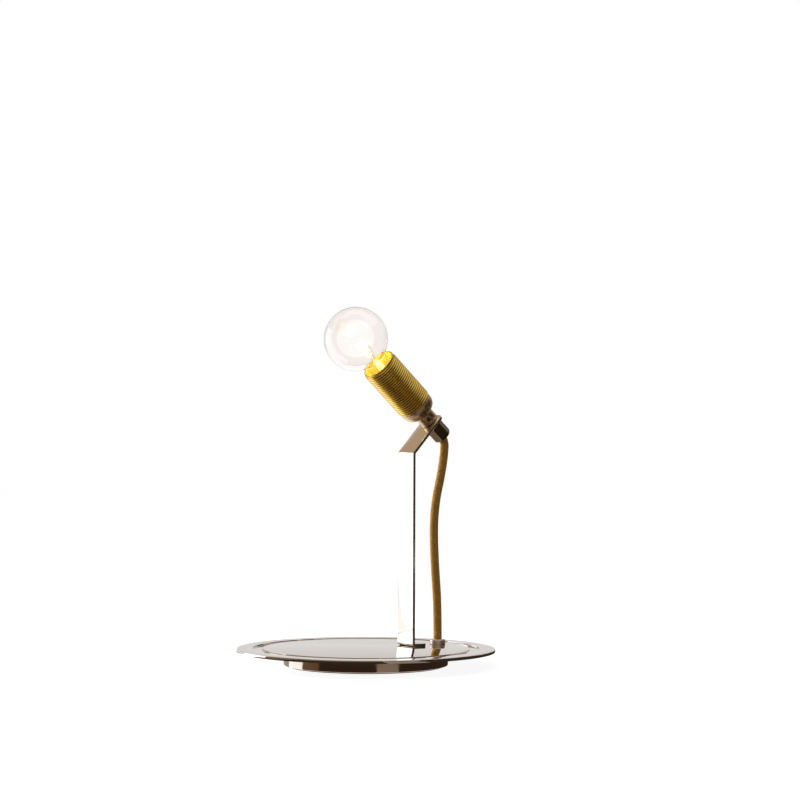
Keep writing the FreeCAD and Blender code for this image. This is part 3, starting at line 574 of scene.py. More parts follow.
def arc(centre: Point, radius: float, first: float, last: float, steps: int) -> list[Point]:
    """Points along a circle from one angle to another, in degrees."""
    angles = [math.radians(first + (last - first) * k / steps) for k in range(steps + 1)]
    return [(centre[0] + radius * math.cos(a), centre[1] + radius * math.sin(a)) for a in angles]


def circle(radius: float, height: float, count: int) -> list[Place]:
    """Evenly spaced points on a level circle round the axis; one point where the radius is 0.

    Args:
        radius: the circle's radius.
        height: its height on the axis.
        count: how many points.

    Returns:
        The points.
    """
    if radius < 1e-6:
        return [(0.0, 0.0, height)]
    angles = [TURN * k / count for k in range(count)]
    return [(radius * math.cos(a), radius * math.sin(a), height) for a in angles]


def bridged(made: Mesh, rows: Iterable[Iterable[Any]], around: bool = True, closed: bool = False) -> list[list[Any]]:
    """Adds rows of points to a mesh and joins each row to the next by faces.

    Args:
        made: the mesh.
        rows: the points, as many in each row; a row of one is a pole.
        around: whether the last point of a row joins its first.
        closed: whether the last row joins the first.

    Returns:
        The rows' vertices.
    """
    rings = [[made.verts.new(spot) for spot in row] for row in rows]
    for low, high in zip(rings, rings[1:] + (rings[:1] if closed else [])):
        count = max(len(low), len(high))
        for k in range(0 if count == 1 else count if around else count - 1):
            n = (k + 1) % count
            quad = [low[k % len(low)], low[n % len(low)], high[n % len(high)], high[k % len(high)]]
            made.faces.new(list(dict.fromkeys(quad)))
    return rings


def lathe(profile: Sequence[Point], segments: int = 96, closed: bool = True, into: Mesh | None = None) -> Mesh:
    """Turns a profile of (radius, height) points about the vertical axis.

    Args:
        profile: the points in order.
        segments: divisions of the full turn.
        closed: whether the last point joins the first.
        into: a mesh to add to, or None for a new one.

    Returns:
        The mesh, with normals outward where it is closed.
    """
    made = into or bmesh.new()
    bridged(made, (circle(radius, height, segments) for radius, height in profile), closed=closed)
    bmesh.ops.recalc_face_normals(made, faces=made.faces)
    return made


def cylinder(radius: float, low: float, high: float, segments: int = 32) -> Mesh:
    """A plain upright cylinder."""
    return lathe([(0, low), (radius, low), (radius, high), (0, high)], segments)


def hexagon_body(
    flats: float, low: float, high: float, chamfer: float, bore: Sequence[Point], turn: float = 0.0,
) -> Mesh:
    """A hexagonal nut or grip whose corners are turned off at both ends.

    Args:
        flats: distance across the flats.
        low: height of its lower face.
        high: height of its upper face.
        chamfer: how far the corners are turned off.
        bore: (radius, height) points of the hole, from the upper face to the lower.
        turn: degrees the hexagon is turned from having a corner on X.

    Returns:
        The mesh.
    """
    samples, slope, sixth = 96, 1.3, math.pi / 3.0
    apothem = flats / 2.0
    corner = apothem / math.cos(sixth / 2.0)
    shares = (0.0, 0.3, 0.6, 1.0, 2.0)
    levels = [low + chamfer * share for share in shares] + [high - chamfer * share for share in shares[::-1]]
    rings = []
    for z in levels:
        limit = corner - max(chamfer - (z - low), chamfer - (high - z), 0.0) * slope
        ring = []
        for k in range(samples):
            angle = TURN * k / samples
            local = (angle - math.radians(turn)) % sixth - sixth / 2.0
            radius = min(apothem / math.cos(local), limit)
            ring.append((radius * math.cos(angle), radius * math.sin(angle), z))
        rings.append(ring)
    rings += [circle(radius, z, samples) for radius, z in bore]
    made = bmesh.new()
    bridged(made, rings, closed=True)
    bmesh.ops.recalc_face_normals(made, faces=made.faces)
    return made


def box_mesh(low: Place, high: Place) -> Mesh:
    """A block between two corners.

    Args:
        low: the corner with the least X, Y and Z.
        high: the opposite corner.

    Returns:
        The block's mesh.
    """
    made = bmesh.new()
    bmesh.ops.create_cube(made, size=1.0)
    for vertex in made.verts:
        vertex.co = Vector([low[i] + (vertex.co[i] + 0.5) * (high[i] - low[i]) for i in range(3)])
    return made


def put(name: str, data: Any) -> Thing:
    """Puts a new object with this data in the scene.

    Args:
        name: the object's name.
        data: mesh, curve, light or camera data.

    Returns:
        The new object.
    """
    made = bpy.data.objects.new(name, data)
    bpy.context.scene.collection.objects.link(made)
    return made


def as_data(name: str, mesh: Mesh) -> bpy.types.Mesh:
    """Turns a working mesh into mesh data and frees it.

    Args:
        name: the mesh data's name.
        mesh: the working mesh.

    Returns:
        The mesh data.
    """
    data = bpy.data.meshes.new(name)
    mesh.to_mesh(data)
    mesh.free()
    return data


def evaluated(thing: Thing) -> bpy.types.Mesh:
    """The mesh data that a working object comes to; the object is then removed.

    Args:
        thing: the working object.

    Returns:
        Its evaluated mesh data.
    """
    graph = bpy.context.evaluated_depsgraph_get()
    data = bpy.data.meshes.new_from_object(thing.evaluated_get(graph), depsgraph=graph)
    bpy.data.objects.remove(thing)
    return data


def merged(parts: Iterable[Mesh | bpy.types.Mesh]) -> Mesh:
    """Several meshes in one; the parts are freed.

    Args:
        parts: working meshes or mesh data.

    Returns:
        One working mesh.
    """
    made = bmesh.new()
    for part in parts:
        data = as_data("part", part) if isinstance(part, Mesh) else part
        made.from_mesh(data)
        bpy.data.meshes.remove(data)
    return made


def taken(thing: Thing) -> Mesh:
    """The evaluated mesh of a working object, which is then removed."""
    return merged([evaluated(thing)])


def carved(body: Mesh, *cutters: Mesh, join: bool = False) -> Mesh:
    """Cuts solids out of a body, or joins them to it.

    Args:
        body: the mesh to change.
        cutters: the closed meshes to take away or add.
        join: True to add instead of cut.

    Returns:
        The new mesh.
    """
    thing = put("carved", as_data("carved", body))
    helpers = [put("cutter", as_data("cutter", cutter)) for cutter in cutters]
    for helper in helpers:
        step = thing.modifiers.new("carve", "BOOLEAN")
        step.object = helper
        step.solver = "EXACT"
        step.operation = "UNION" if join else "DIFFERENCE"
    made = taken(thing)
    for helper in helpers:
        bpy.data.objects.remove(helper)
    return made


def moved(mesh: Mesh, x: float = 0.0, y: float = 0.0, z: float = 0.0) -> Mesh:
    """The same mesh, shifted."""
    mesh.transform(Matrix.Translation((x, y, z)))
    return mesh


def placed(mesh: Mesh, place: Matrix) -> Mesh:
    """The same mesh, carried to a place."""
    mesh.transform(place)
    return mesh


def level(angle: float, height: float) -> Matrix:
    """Where something that was drawn upright lies level at a height, pointing outward at an angle in degrees."""
    turn = Matrix.Rotation(math.radians(angle), 4, "Z") @ Matrix.Rotation(math.radians(90.0), 4, "Y")
    return Matrix.Translation((0.0, 0.0, height)) @ turn


def on_circle(radius: float, count: int, first: float, height: float) -> list[Place]:
    """Evenly spaced places on a circle, the first at `first` degrees."""
    angles = [math.radians(first + 360.0 / count * k) for k in range(count)]
    return [(radius * math.cos(a), radius * math.sin(a), height) for a in angles]


def washer(inner: float, outer: float, low: float, high: float) -> Mesh:
    """A flat washer with eased edges.

    Args:
        inner: the hole's radius.
        outer: the rim's radius.
        low: the lower face's height.
        high: the upper face's height.

    Returns:
        The washer's mesh.
    """
    ease = 0.2 * (high - low)
    corners = [(inner, low, ease), (outer, low, ease), (outer, high, ease), (inner, high, ease)]
    return lathe(filleted(corners, steps=2), 48)


def route_curve(name: str, points: Sequence[Place], radius: float = 0.0, resolution: int = 3) -> Thing:
    """A smooth NURBS line with the route's points as its control points.

    Args:
        name: the working object's name.
        points: the route.
        radius: the radius of a round body along it, or 0 for a bare line.
        resolution: how finely the body is rounded.

    Returns:
        The working object.
    """
    data = bpy.data.curves.new(name, "CURVE")
    data.dimensions = "3D"
    data.resolution_u = 24
    line = data.splines.new("NURBS")
    line.points.add(len(points) - 1)
    for spot, place in zip(line.points, points):
        spot.co = (*place, 1.0)
    line.order_u = 3
    line.use_endpoint_u = True
    if radius:
        data.bevel_depth = radius
        data.bevel_resolution = resolution
        data.use_fill_caps = True
    return put(name, data)


def round_wire(points: Sequence[Place], radius: float) -> Mesh:
    """A round wire along a smooth line through a route's points."""
    return taken(route_curve("wire", points, radius))


# ------------------------------------------------------------------ geometry node trees
class GrowTree(Graph):
    """A geometry node tree with named inputs that grows a mesh on a working object."""

    def __init__(self, name: str) -> None:
        """Makes an empty tree with a geometry input and output.

        Args:
            name: the node group's name.
        """
        super().__init__(bpy.data.node_groups.new(name, "GeometryNodeTree"))
        self.tree.interface.new_socket("Geometry", in_out="OUTPUT", socket_type="NodeSocketGeometry")
        self.tree.interface.new_socket("Source", in_out="INPUT", socket_type="NodeSocketGeometry")
        self.entry = self.add("NodeGroupInput")
        self.source = self.entry.outputs["Source"]

    def inputs(self, kind: str, *names: str) -> list[Term]:
        """Adds named inputs of one kind and returns what they give inside the tree.

        Args:
            kind: the inputs' socket type.
            names: their names.

        Returns:
            What each gives, in the same order.
        """
        for name in names:
            self.tree.interface.new_socket(name, in_out="INPUT", socket_type=f"NodeSocket{kind}")
        return [Term(self, self.entry.outputs[name]) for name in names]

    def end(self, geometry: Socket) -> None:
        """Realizes, smooths and paints the geometry, and closes the tree.

        Args:
            geometry: the grown geometry.
        """
        (paint,) = self.inputs("Material", "finish")
        real = self.add("GeometryNodeRealizeInstances", geometry).outputs[0]
        smooth = self.add("GeometryNodeSetShadeSmooth", real).outputs[0]
        self.add("NodeGroupOutput", self.add("GeometryNodeSetMaterial", smooth, Material=paint).outputs[0])

    def grow(self, source: Thing, finish: Finish, **values: Any) -> Mesh:
        """Runs the tree on a working object and takes the plain mesh.

        Args:
            source: the working object; it is removed.
            finish: the finish that the tree paints.
            values: inputs by name.

        Returns:
            The grown mesh.
        """
        values["finish"] = finish.material()
        step = source.modifiers.new("grow", "NODES")
        step.node_group = self.tree
        for item in self.tree.interface.items_tree:
            if item.in_out == "INPUT" and item.name in values:
                step[item.identifier] = values[item.name]
        return taken(source)


def thread_tree(weld: float = 0.004) -> GrowTree:
    """Grows a right-hand screw thread between two heights and seals it to the source's rims.

    Args:
        weld: how far apart points may lie and still be joined.

    Returns:
        The tree, with the fields of Thread as its inputs.
    """
    g = GrowTree("screw_thread")
    root, crest, pitch, low, high, runout, root_flat, crest_flat, rounding = g.inputs(
        "Float", "root", "crest", "pitch", "low", "high", "runout", "root_flat", "crest_flat", "rounding")
    around, across = g.inputs("Int", "around", "across")
    turns = g.math("CEIL", (high - low) / pitch) + 1.0
    strip = g.add("GeometryNodeMeshGrid", 1.0, 1.0, across + 1.0, turns * around + 1.0).outputs["Mesh"]
    place = g.add("ShaderNodeSeparateXYZ", g.add("GeometryNodeInputPosition").outputs[0])
    x, y = (Term(g, place.outputs[k]) + 0.5 for k in (0, 1))
    turned = y * turns
    angle = turned * TURN
    height = g.math("MINIMUM", g.math("MAXIMUM", low - pitch + pitch * (turned + x), low), high)
    climb = 1.0 - g.math("ABSOLUTE", x * 2.0 - 1.0)
    sharp, soft = (g.spread(climb, root_flat, crest_flat, 0.0, 1.0, kind) for kind in ("LINEAR", "SMOOTHSTEP"))
    rise, fall = (g.math("DIVIDE", room, runout, clamp=True) for room in (height - low, high - height))
    form = (sharp * (1.0 - rounding) + soft * rounding) * (rise * fall)
    radius = root + (crest - root) * form
    spot = g.add("ShaderNodeCombineXYZ", radius * g.math("COSINE", angle), radius * g.math("SINE", angle), height)
    strip = g.add("GeometryNodeSetPosition", strip, None, spot.outputs[0]).outputs[0]
    both = g.add("GeometryNodeJoinGeometry")
    for part in (strip, g.source):
        g.tree.links.new(part, both.inputs[0])
    g.end(g.add("GeometryNodeMergeByDistance", both.outputs[0], Distance=weld).outputs[0])
    return g


def braid_tree(sides: int = 5) -> GrowTree:
    """Winds crossing strands, over and under, round a path of edges.

    Args:
        sides: how many sides a yarn has.

    Returns:
        The tree; with one carrier and no crossing it winds a single coil.
    """
    g = GrowTree("braid")
    step, radius, yarn, crossing, gap, turns = g.inputs(
        "Float", "step", "radius", "yarn_radius", "crossing", "gap", "turns")
    carriers, yarns, ways, seed = g.inputs("Int", "carriers", "yarns", "ways", "seed")
    path = g.add("GeometryNodeMeshToCurve", g.source).outputs[0]
    path = g.add("GeometryNodeResampleCurve", path, settings={"mode": "LENGTH"}, Length=step).outputs[0]
    copies = g.add("GeometryNodeDuplicateElements", path, None, carriers * yarns * ways, settings={"domain": "SPLINE"})
    number = Term(g, copies.outputs["Duplicate Index"])
    group = g.math("FLOOR", (number + 0.5) / yarns)
    way = 1.0 - g.math("MODULO", group, ways) * 2.0
    carrier = g.math("FLOOR", (group + 0.5) / ways)
    run = g.add("GeometryNodeSplineParameter").outputs["Factor"]
    centre = carrier / carriers * TURN + way * run * (turns * TURN)
    angle = centre + gap * (number - group * yarns - (yarns - 1.0) * 0.5)
    reach = radius + way * crossing * g.math("COSINE", centre * carriers)
    normal, tangent = (g.add(f"GeometryNodeInput{kind}").outputs[0] for kind in ("Normal", "Tangent"))
    side = g.vector_math("CROSS_PRODUCT", tangent, normal)
    out = g.vector_math("ADD", g.vector_math("SCALE", normal, scale=reach * g.math("COSINE", angle)),
                        g.vector_math("SCALE", side, scale=reach * g.math("SINE", angle)))
    wound = g.add("GeometryNodeSetPosition", copies.outputs[0], Offset=out).outputs[0]
    tone = g.add("FunctionNodeRandomValue", settings={"data_type": "FLOAT"}, ID=group, Seed=seed)
    for key, value in ((2, 0.45), (3, 1.0)):
        g.feed(tone.inputs[key], value)
    wound = g.add("GeometryNodeStoreNamedAttribute", wound, settings={"data_type": "FLOAT", "domain": "POINT"},
                  Name="strand_tone", Value=tone.outputs[1]).outputs[0]
    ring = g.add("GeometryNodeCurvePrimitiveCircle", sides, Radius=yarn).outputs[0]
    g.end(g.add("GeometryNodeCurveToMesh", wound, ring, Fill_Caps=True).outputs[0])
    return g


def set_out_tree() -> GrowTree:
    """Puts a copy of a fastener at each vertex of the source.

    Returns:
        The tree, with the fastener as its input.
    """
    g = GrowTree("set_out")
    shape = g.add("GeometryNodeObjectInfo", *g.inputs("Object", "fastener")).outputs["Geometry"]
    spots = g.add("GeometryNodeMeshToPoints", g.source).outputs[0]
    g.end(g.add("GeometryNodeInstanceOnPoints", spots, None, shape).outputs[0])
    return g


# ------------------------------------------------------------------ workshop
@dataclass(frozen=True)
class Thread:
    """A screw thread between two heights, in millimetres; the flats are shares of the flank."""

    root: float
    crest: float
    pitch: float
    low: float
    high: float
    runout: float
    rounding: float = 0.0
    around: int = 32
    across: int = 5
    root_flat: float = 0.16
    crest_flat: float = 0.86


class Workshop:
    """Makes finished scene objects out of meshes, and parents each to its body's empty."""

    def __init__(self) -> None:
        """Builds the shared node trees and the lampholder's place."""
        self.threads = thread_tree()
        self.braids = braid_tree()
        self.set_out = set_out_tree()
        lean = math.atan2(-HOLDER_AXIS[1], HOLDER_AXIS[2])
        self.on_arm = Matrix.Translation(Vector(HOLDER_PLACE)) @ Matrix.Rotation(lean, 4, "X")

    def threaded(self, openings: Iterable[Sequence[Point]], thread: Thread, finish: Finish) -> Mesh:
        """A turned body with a screw thread closing it.

        Args:
            openings: open profiles that start or end on the thread's root at its two ends.
            thread: the thread between them.
            finish: the finish.

        Returns:
            The closed mesh.
        """
        body = bmesh.new()
        for profile in openings:
            lathe(profile, thread.around, False, body)
        made = self.threads.grow(put("threaded", as_data("threaded", body)), finish, **asdict(thread))
        bmesh.ops.recalc_face_normals(made, faces=made.faces)
        return made

    def repeated(self, fastener: Mesh, places: Sequence[Place], finish: Finish) -> Mesh:
        """Copies of one fastener at several places.

        Args:
            fastener: its mesh, drawn at the origin.
            places: where the copies go.
            finish: the finish.

        Returns:
            One mesh with all the copies.
        """
        spots = bmesh.new()
        for place in places:
            spots.verts.new(place)
        model = put("fastener", as_data("fastener", fastener))
        made = self.set_out.grow(put("places", as_data("places", spots)), finish, fastener=model)
        bpy.data.objects.remove(model)
        return made

    def piece(
        self,
        name: str,
        mesh: Mesh,
        finish: Finish,
        slot: str,
        nodes: Sequence[str],
        body: str = "lamp",
        place: Matrix | None = None,
        sharp: float = 32.0,
        scale: float = MM,
    ) -> Thing:
        """Turns a mesh into a finished object that rides on a body and stands for CAD nodes.

        Args:
            name: the piece's name.
            mesh: its mesh; it is freed.
            finish: its finish.
            slot: the record's material slot; not used.
            nodes: the CAD nodes it stands for.
            body: the CAD body it rides on.
            place: where it goes, in metres; None leaves it.
            sharp: edges bent by more than this many degrees stay crisp.
            scale: the mesh's unit in metres.

        Returns:
            The object.
        """
        mesh.transform(Matrix.Scale(scale, 4))
        if place is not None:
            mesh.transform(place)
        for face in mesh.faces:
            face.smooth = True
            face.material_index = 0
        limit = math.radians(sharp)
        for edge in mesh.edges:
            edge.smooth = not (edge.is_manifold and edge.calc_face_angle(0.0) > limit)
        data = as_data(name, mesh)
        data.materials.clear()
        data.materials.append(finish.material())
        made = put(name, data)
        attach(made, body)
        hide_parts(*nodes)
        log.info("%s: %d faces, stands for %s", name, len(data.polygons), ", ".join(nodes))
        return made

    def fixings(
        self, name: str, fastener: Mesh, places: Sequence[Place], node: str, place: Matrix | None = None,
    ) -> None:
        """Makes steel copies of one fastener into one piece.

        Args:
            name: the piece's name.
            fastener: its mesh, drawn at the origin.
            places: where the copies go, in millimetres.
            node: the CAD node they stand for.
            place: where they all go then, in metres.
        """
        steel = Finishes.steel
        self.piece(name, self.repeated(fastener, places, steel), steel, "steel_fixings", [node], place=place)

    def dress(self, node: str, finish: Finish) -> None:
        """Gives a CAD node that keeps its shape its finish.

        Args:
            node: the CAD node.
            finish: its finish.
        """
        thing = frame["nodes"][node]
        thing.data.materials.clear()
        thing.data.materials.append(finish.material())
        log.info("%s: keeps its solid, in %s", node, finish.name)


# ------------------------------------------------------------------ fasteners
class Drive(Enum):
    """What a screwdriver turns a screw by."""

    SLOT = "slot"
    CROSS = "cross"


class Head(Enum):
    """The form of a screw's head."""

    CHEESE = "cheese"
    COUNTERSUNK = "countersunk"
    NONE = "none"


@dataclass(frozen=True)
class Screw:
    """A screw drawn upright with its drive at the bottom, in millimetres."""

    shank: float
    length: float
    pitch: float
    head: Head = Head.NONE
    head_radius: float = 0.0
    head_height: float = 0.0
    drive: Drive = Drive.SLOT

    def build(self, shop: Workshop, finish: Finish) -> Mesh:
        """Makes the screw.

        Args:
            shop: the workshop.
            finish: the finish.

        Returns:
            Its mesh, a head and a threaded shank.
        """
        root, tip = self.shank - 0.45 * self.pitch, self.length
        r, neck, segments, runout = self.head_radius, self.head_height, 48, 0.5
        if self.head is Head.NONE:
            neck = min(0.4, 0.3 * tip)
            wide, deep, segments, runout = self.shank, neck, 32, 0.3
            rim, top = 0.92 * self.shank, neck + 0.25
            corners = [(0, 0, 0), (rim, 0, 0.12), (rim, top, 0), (0, top, 0)]
        elif self.head is Head.CHEESE:
            wide, deep = r, 0.5 * neck
            corners = [(0, 0, 0), (r, 0, 0.5), (r, neck, 0.12), (0, neck, 0)]
        else:
            wide, deep = r, 0.55 * neck
            corners = [(0, 0, 0), (r, 0, 0.1), (r, 0.15, 0.05), (self.shank, neck, 0.05), (0, neck, 0)]
            neck -= 0.05
        thread = Thread(root, self.shank, self.pitch, neck, tip - 0.35 * self.pitch, runout * self.pitch)
        ends = [[(0.0, neck), (root, neck)], [(root, thread.high), (root * 0.8, tip), (0.0, tip)]]
        head = carved(lathe(filleted(corners), segments), *self.cutters(wide, deep))
        return merged([head, shop.threaded(ends, thread, finish)])

    def cutters(self, wide: float, deep: float) -> list[Mesh]:
        """The blocks that cut the drive into the head.

        Args:
            wide: the head's width.
            deep: how deep the drive goes.

        Returns:
            The blocks' meshes.
        """
        if self.drive is Drive.SLOT:
            half = 0.14 * wide
            return [box_mesh((-1.5 * wide, -half, -1.0), (1.5 * wide, half, deep))]
        half, long = 0.13 * wide, 0.55 * wide
        return [box_mesh((-x, -y, -1.0), (x, y, top)) for x, y, top in ((long, half, deep), (half, long, deep * 1.02))]


# ------------------------------------------------------------------ base
@dataclass
class Base:
    """The round plate, its foot and what holds them together."""

    plate_radius: float = 91.0
    plate_bottom: float = 10.5
    plate_top: float = 12.8
    plate_edge: float = 0.45
    groove: Point = (72.8, 79.8)
    groove_depth: float = 1.1
    foot_radius: float = 57.8
    foot_bottom: float = 0.8
    foot_wall: float = 2.8
    foot_edge: float = 1.2
    web_bottom: float = 9.1
    pocket_inner: float = 8.03
    pocket_wall: float = 1.5
    pocket_bottom: float = 2.8
    pocket_floor: float = 3.8
    bush_y: float = 61.0
    stud_circle: float = 42.0
    stud_first: float = 30.0
    stud_radius: float = 2.0
    stud_root: float = 1.6
    stud_bottom: float = 3.4
    nut_flats: float = 7.0
    nut_bore: float = 2.05
    nut_bottom: float = 3.5
    washer_radii: Point = (2.2, 4.4)
    washer_bottom: float = 5.7
    ballast_bottom: float = 6.5
    boss_radius: float = 3.6
    boss_bottom: float = 2.8
    cover_screw: Screw = Screw(1.5, 5.0, 0.5, Head.COUNTERSUNK, 2.8, 1.2, Drive.CROSS)
    cover_screw_circle: float = 50.0
    cover_bottom: float = 1.6
    pad_radius: float = 54.8
    outlet_angle: float = 125.0
    outlet_height: float = 5.7
    outlet_hole: float = 4.15
    outlet_bore: float = 3.35

    def build(self, shop: Workshop) -> None:
        """Makes every piece of the base.

        Args:
            shop: the workshop.
        """
        self.plate(shop)
        self.foot(shop)
        self.fasteners(shop)
        self.underside(shop)
        self.outlet(shop)

    def plate(self, shop: Workshop) -> None:
        """The polished plate with its turned groove, and the studs welded under it.

        Args:
            shop: the workshop.
        """
        r, e, low, high = self.plate_radius, self.plate_edge, self.plate_bottom, self.plate_top
        floor = high - self.groove_depth
        inner, outer = self.groove
        disc = lathe(filleted([
            (0, low, 0), (r, low, e), (r, high, e), (outer, high, 0.12), (outer, floor, 0.18),
            (inner, floor, 0.18), (inner, high, 0.12), (0, high, 0),
        ]), 256)
        root, foot = self.stud_root, self.stud_bottom
        ends = [[(0.0, low), (root, low)], [(root, foot + 0.3), (root - 0.3, foot), (0.0, foot)]]
        stud = shop.threaded(ends, Thread(root, self.stud_radius, 0.7, foot + 0.3, low, 0.4), Finishes.steel)
        studs = shop.repeated(stud, on_circle(self.stud_circle, 3, self.stud_first, 0.0), Finishes.plate)
        shop.piece("turned_plate", merged([disc, studs]), Finishes.plate, "nickel_polished", ["base_plate"], sharp=50.0)

    def foot(self, shop: Workshop) -> None:
        """The foot: a rounded drum with the lead's pocket at its back.

        Args:
            shop: the workshop.
        """
        r, low, high, web = self.foot_radius, self.foot_bottom, self.plate_bottom, self.web_bottom
        inner = r - self.foot_wall
        drum = lathe(filleted([
            (0, web, 0), (inner, web, 0.5), (inner, low, 0.2), (r, low, self.foot_edge), (r, high, 0.15), (0, high, 0),
        ], steps=6), 192)
        outer, floor = self.pocket_inner + self.pocket_wall, self.pocket_bottom
        pocket = lathe(filleted([(0, floor, 0), (outer, floor, 0.8), (outer, high, 0.1), (0, high, 0)]), 64)
        drum = carved(drum, moved(pocket, y=self.bush_y), join=True)
        room = moved(cylinder(self.pocket_inner, self.pocket_floor, high + 1, 64), y=self.bush_y)
        out = level(self.outlet_angle, self.outlet_height)
        hole = placed(cylinder(self.outlet_hole, 50.0, 62.0, 48), out)
        drum = carved(drum, room, hole)
        bosses = [moved(cylinder(self.boss_radius, self.boss_bottom, web + 0.1), x, y)
                  for x, y, _ in on_circle(self.cover_screw_circle, 3, 0.0, 0.0)]
        whole = merged([drum, *bosses])
        shop.piece("turned_foot", whole, Finishes.foot, "nickel_polished", ["foot_casing"], sharp=40.0)

    def fasteners(self, shop: Workshop) -> None:
        """Nuts and washers on the studs, and the cover's screws.

        Args:
            shop: the workshop.
        """
        bore = [(self.nut_bore, self.washer_bottom), (self.nut_bore, self.nut_bottom)]
        nut = hexagon_body(self.nut_flats, self.nut_bottom, self.washer_bottom, 0.35, bore)
        places = on_circle(self.stud_circle, 3, self.stud_first, 0.0)
        shop.fixings("stud_nuts", nut, places, "plate_nuts")
        ring = washer(*self.washer_radii, self.washer_bottom, self.ballast_bottom)
        shop.fixings("stud_washers", ring, places[1:], "plate_washers")
        screw = self.cover_screw.build(shop, Finishes.steel)
        spots = on_circle(self.cover_screw_circle, 3, 0.0, self.cover_bottom)
        shop.fixings("cover_fixings", screw, spots, "cover_screws")
        shop.dress("ballast_weight", Finishes.iron)
        shop.dress("bottom_cover", Finishes.cover)
        shop.dress("earth_tag", Finishes.small_brass)

    def underside(self, shop: Workshop) -> None:
        """The felt pad, its rim softly rounded.

        Args:
            shop: the workshop.
        """
        r, top = self.pad_radius, self.cover_bottom
        profile = filleted([(0, 0, 0), (r, 0, 0.5), (r, top, 0.15), (0, top, 0)])
        shop.piece("felt_sole", lathe(profile, 160), Finishes.felt, "felt_black", ["felt_pad"], sharp=60.0)

    def outlet(self, shop: Workshop) -> None:
        """The rubber bush that the mains lead would leave by.

        Args:
            shop: the workshop.
        """
        bore, stem, collar, inside, outside = self.outlet_bore, 4.1, 4.4, 55.4, 59.0
        profile = filleted([
            (bore, inside, 0.3), (stem, inside, 0.2), (stem, self.foot_radius, 0.05), (collar, self.foot_radius, 0.05),
            (collar, outside, 0.6), (bore, outside, 0.5),
        ])
        bush = placed(lathe(profile, 64), level(self.outlet_angle, self.outlet_height))
        shop.piece("outlet_grommet", bush, Finishes.rubber, "outlet_black", ["mains_outlet_bush"])


# ------------------------------------------------------------------ post
@dataclass
class Post:
    """The flat bar, bent at the foot and at the arm."""

    width: float = 20.0
    thickness: float = 2.0
    front: float = 33.0
    bottom: float = 12.8
    fold: float = 150.1
    arm_angle: float = 47.5
    arm_length: float = 36.3
    hole_radius: float = 5.05
    corner: float = 3.5
    tab_length: float = 8.9
    outside_bend: float = 2.15
    edge: float = 0.28
    screw: Screw = Screw(1.5, 7.9, 0.5, Head.CHEESE, 2.8, 1.8, Drive.CROSS)
    screw_y: float = 39.75
    screw_spacing: float = 11.0
    screw_bottom: float = 6.8
    tap_radius: float = 1.55
    washer_radii: Point = (1.7, 3.4)
    washer_height: float = 0.5

    def stations(self) -> list[tuple[Vector, Vector, float]]:
        """Stations along the bar: front-face point, direction out of that face, half width.

        Returns:
            The stations, from the tab to the arm's end.
        """
        half, r, front, corner = self.width / 2.0, self.outside_bend, self.front, self.corner
        lean = math.radians(self.arm_angle)
        along = Vector((0.0, math.cos(lean), math.sin(lean)))
        out_arm = Vector((0.0, -math.sin(lean), math.cos(lean)))
        down, ahead = Vector((0, 0, -1)), Vector((0, -1, 0))
        tab_end = front + self.thickness + self.tab_length
        made = [(Vector((0.0, y, self.bottom)), down, half) for y in (tab_end, tab_end - 3.0)]
        foot_centre = Vector((0.0, front + r, self.bottom + r))
        for k in range(9):
            angle = math.radians(90.0 * k / 8)
            out = down * math.cos(angle) + ahead * math.sin(angle)
            made.append((foot_centre + out * r, out, half))
        for k in range(1, 8):
            height = self.bottom + r + (self.fold - self.bottom - 2.0 * r) * k / 8
            made.append((Vector((0.0, front, height)), ahead, half))
        turn = math.pi / 2.0 - lean
        reach = r * math.tan(turn / 2.0)
        fold_centre = Vector((0.0, front + r, self.fold - reach))
        for k in range(7):
            angle = turn * k / 6
            out = Vector((0.0, -math.cos(angle), math.sin(angle)))
            made.append((fold_centre + out * r, out, half))
        start = Vector((0.0, front, self.fold))
        straight = self.arm_length - corner
        for share in (0.25, 0.5, 0.75, 1.0):
            made.append((start + along * (reach + (straight - reach) * share), out_arm, half))
        for k in range(1, 9):
            angle = math.radians(90.0 * k / 8)
            spot = start + along * (straight + corner * math.sin(angle))
            made.append((spot, out_arm, half - corner + corner * math.cos(angle)))
        return made

    def bar(self) -> Mesh:
        """The bar's mesh: one rounded section carried through the stations.

        Returns:
            The bar's mesh, in millimetres.
        """
        t, e = self.thickness, self.edge
        rows = []
        for point, out, half in self.stations():
            section = filleted([(-half, 0.0, e), (half, 0.0, e), (half, -t, e), (-half, -t, e)], steps=3)
            rows.append([point + Vector((x, 0.0, 0.0)) + out * depth for x, depth in section])
        made = bmesh.new()
        rings = bridged(made, rows)
        made.faces.new(rings[0])
        made.faces.new(rings[-1])
        bmesh.ops.recalc_face_normals(made, faces=made.faces)
        return made

    def build(self, shop: Workshop) -> None:
        """Makes the bar, its two screws and their washers.

        Args:
            shop: the workshop.
        """
        upright = Matrix.Scale(1.0 / MM, 4) @ shop.on_arm @ Matrix.Scale(MM, 4)
        hole = placed(cylinder(self.hole_radius, -6, 3, 64), upright)
        half = self.screw_spacing / 2.0
        sides = [(-half, self.screw_y, self.screw_bottom), (half, self.screw_y, self.screw_bottom)]
        taps = [moved(cylinder(self.tap_radius, 12, 16), x, y) for x, y, _ in sides]
        bar = carved(self.bar(), hole, *taps)
        shop.piece("bent_bar", bar, Finishes.bar, "nickel_polished", ["post_strap"], sharp=25.0)
        shop.fixings("tab_screws", self.screw.build(shop, Finishes.steel), sides, "strap_screws")
        head = self.screw.head_height
        ring = washer(*self.washer_radii, head, head + self.washer_height)
        shop.fixings("tab_washers", ring, sides, "strap_washers")


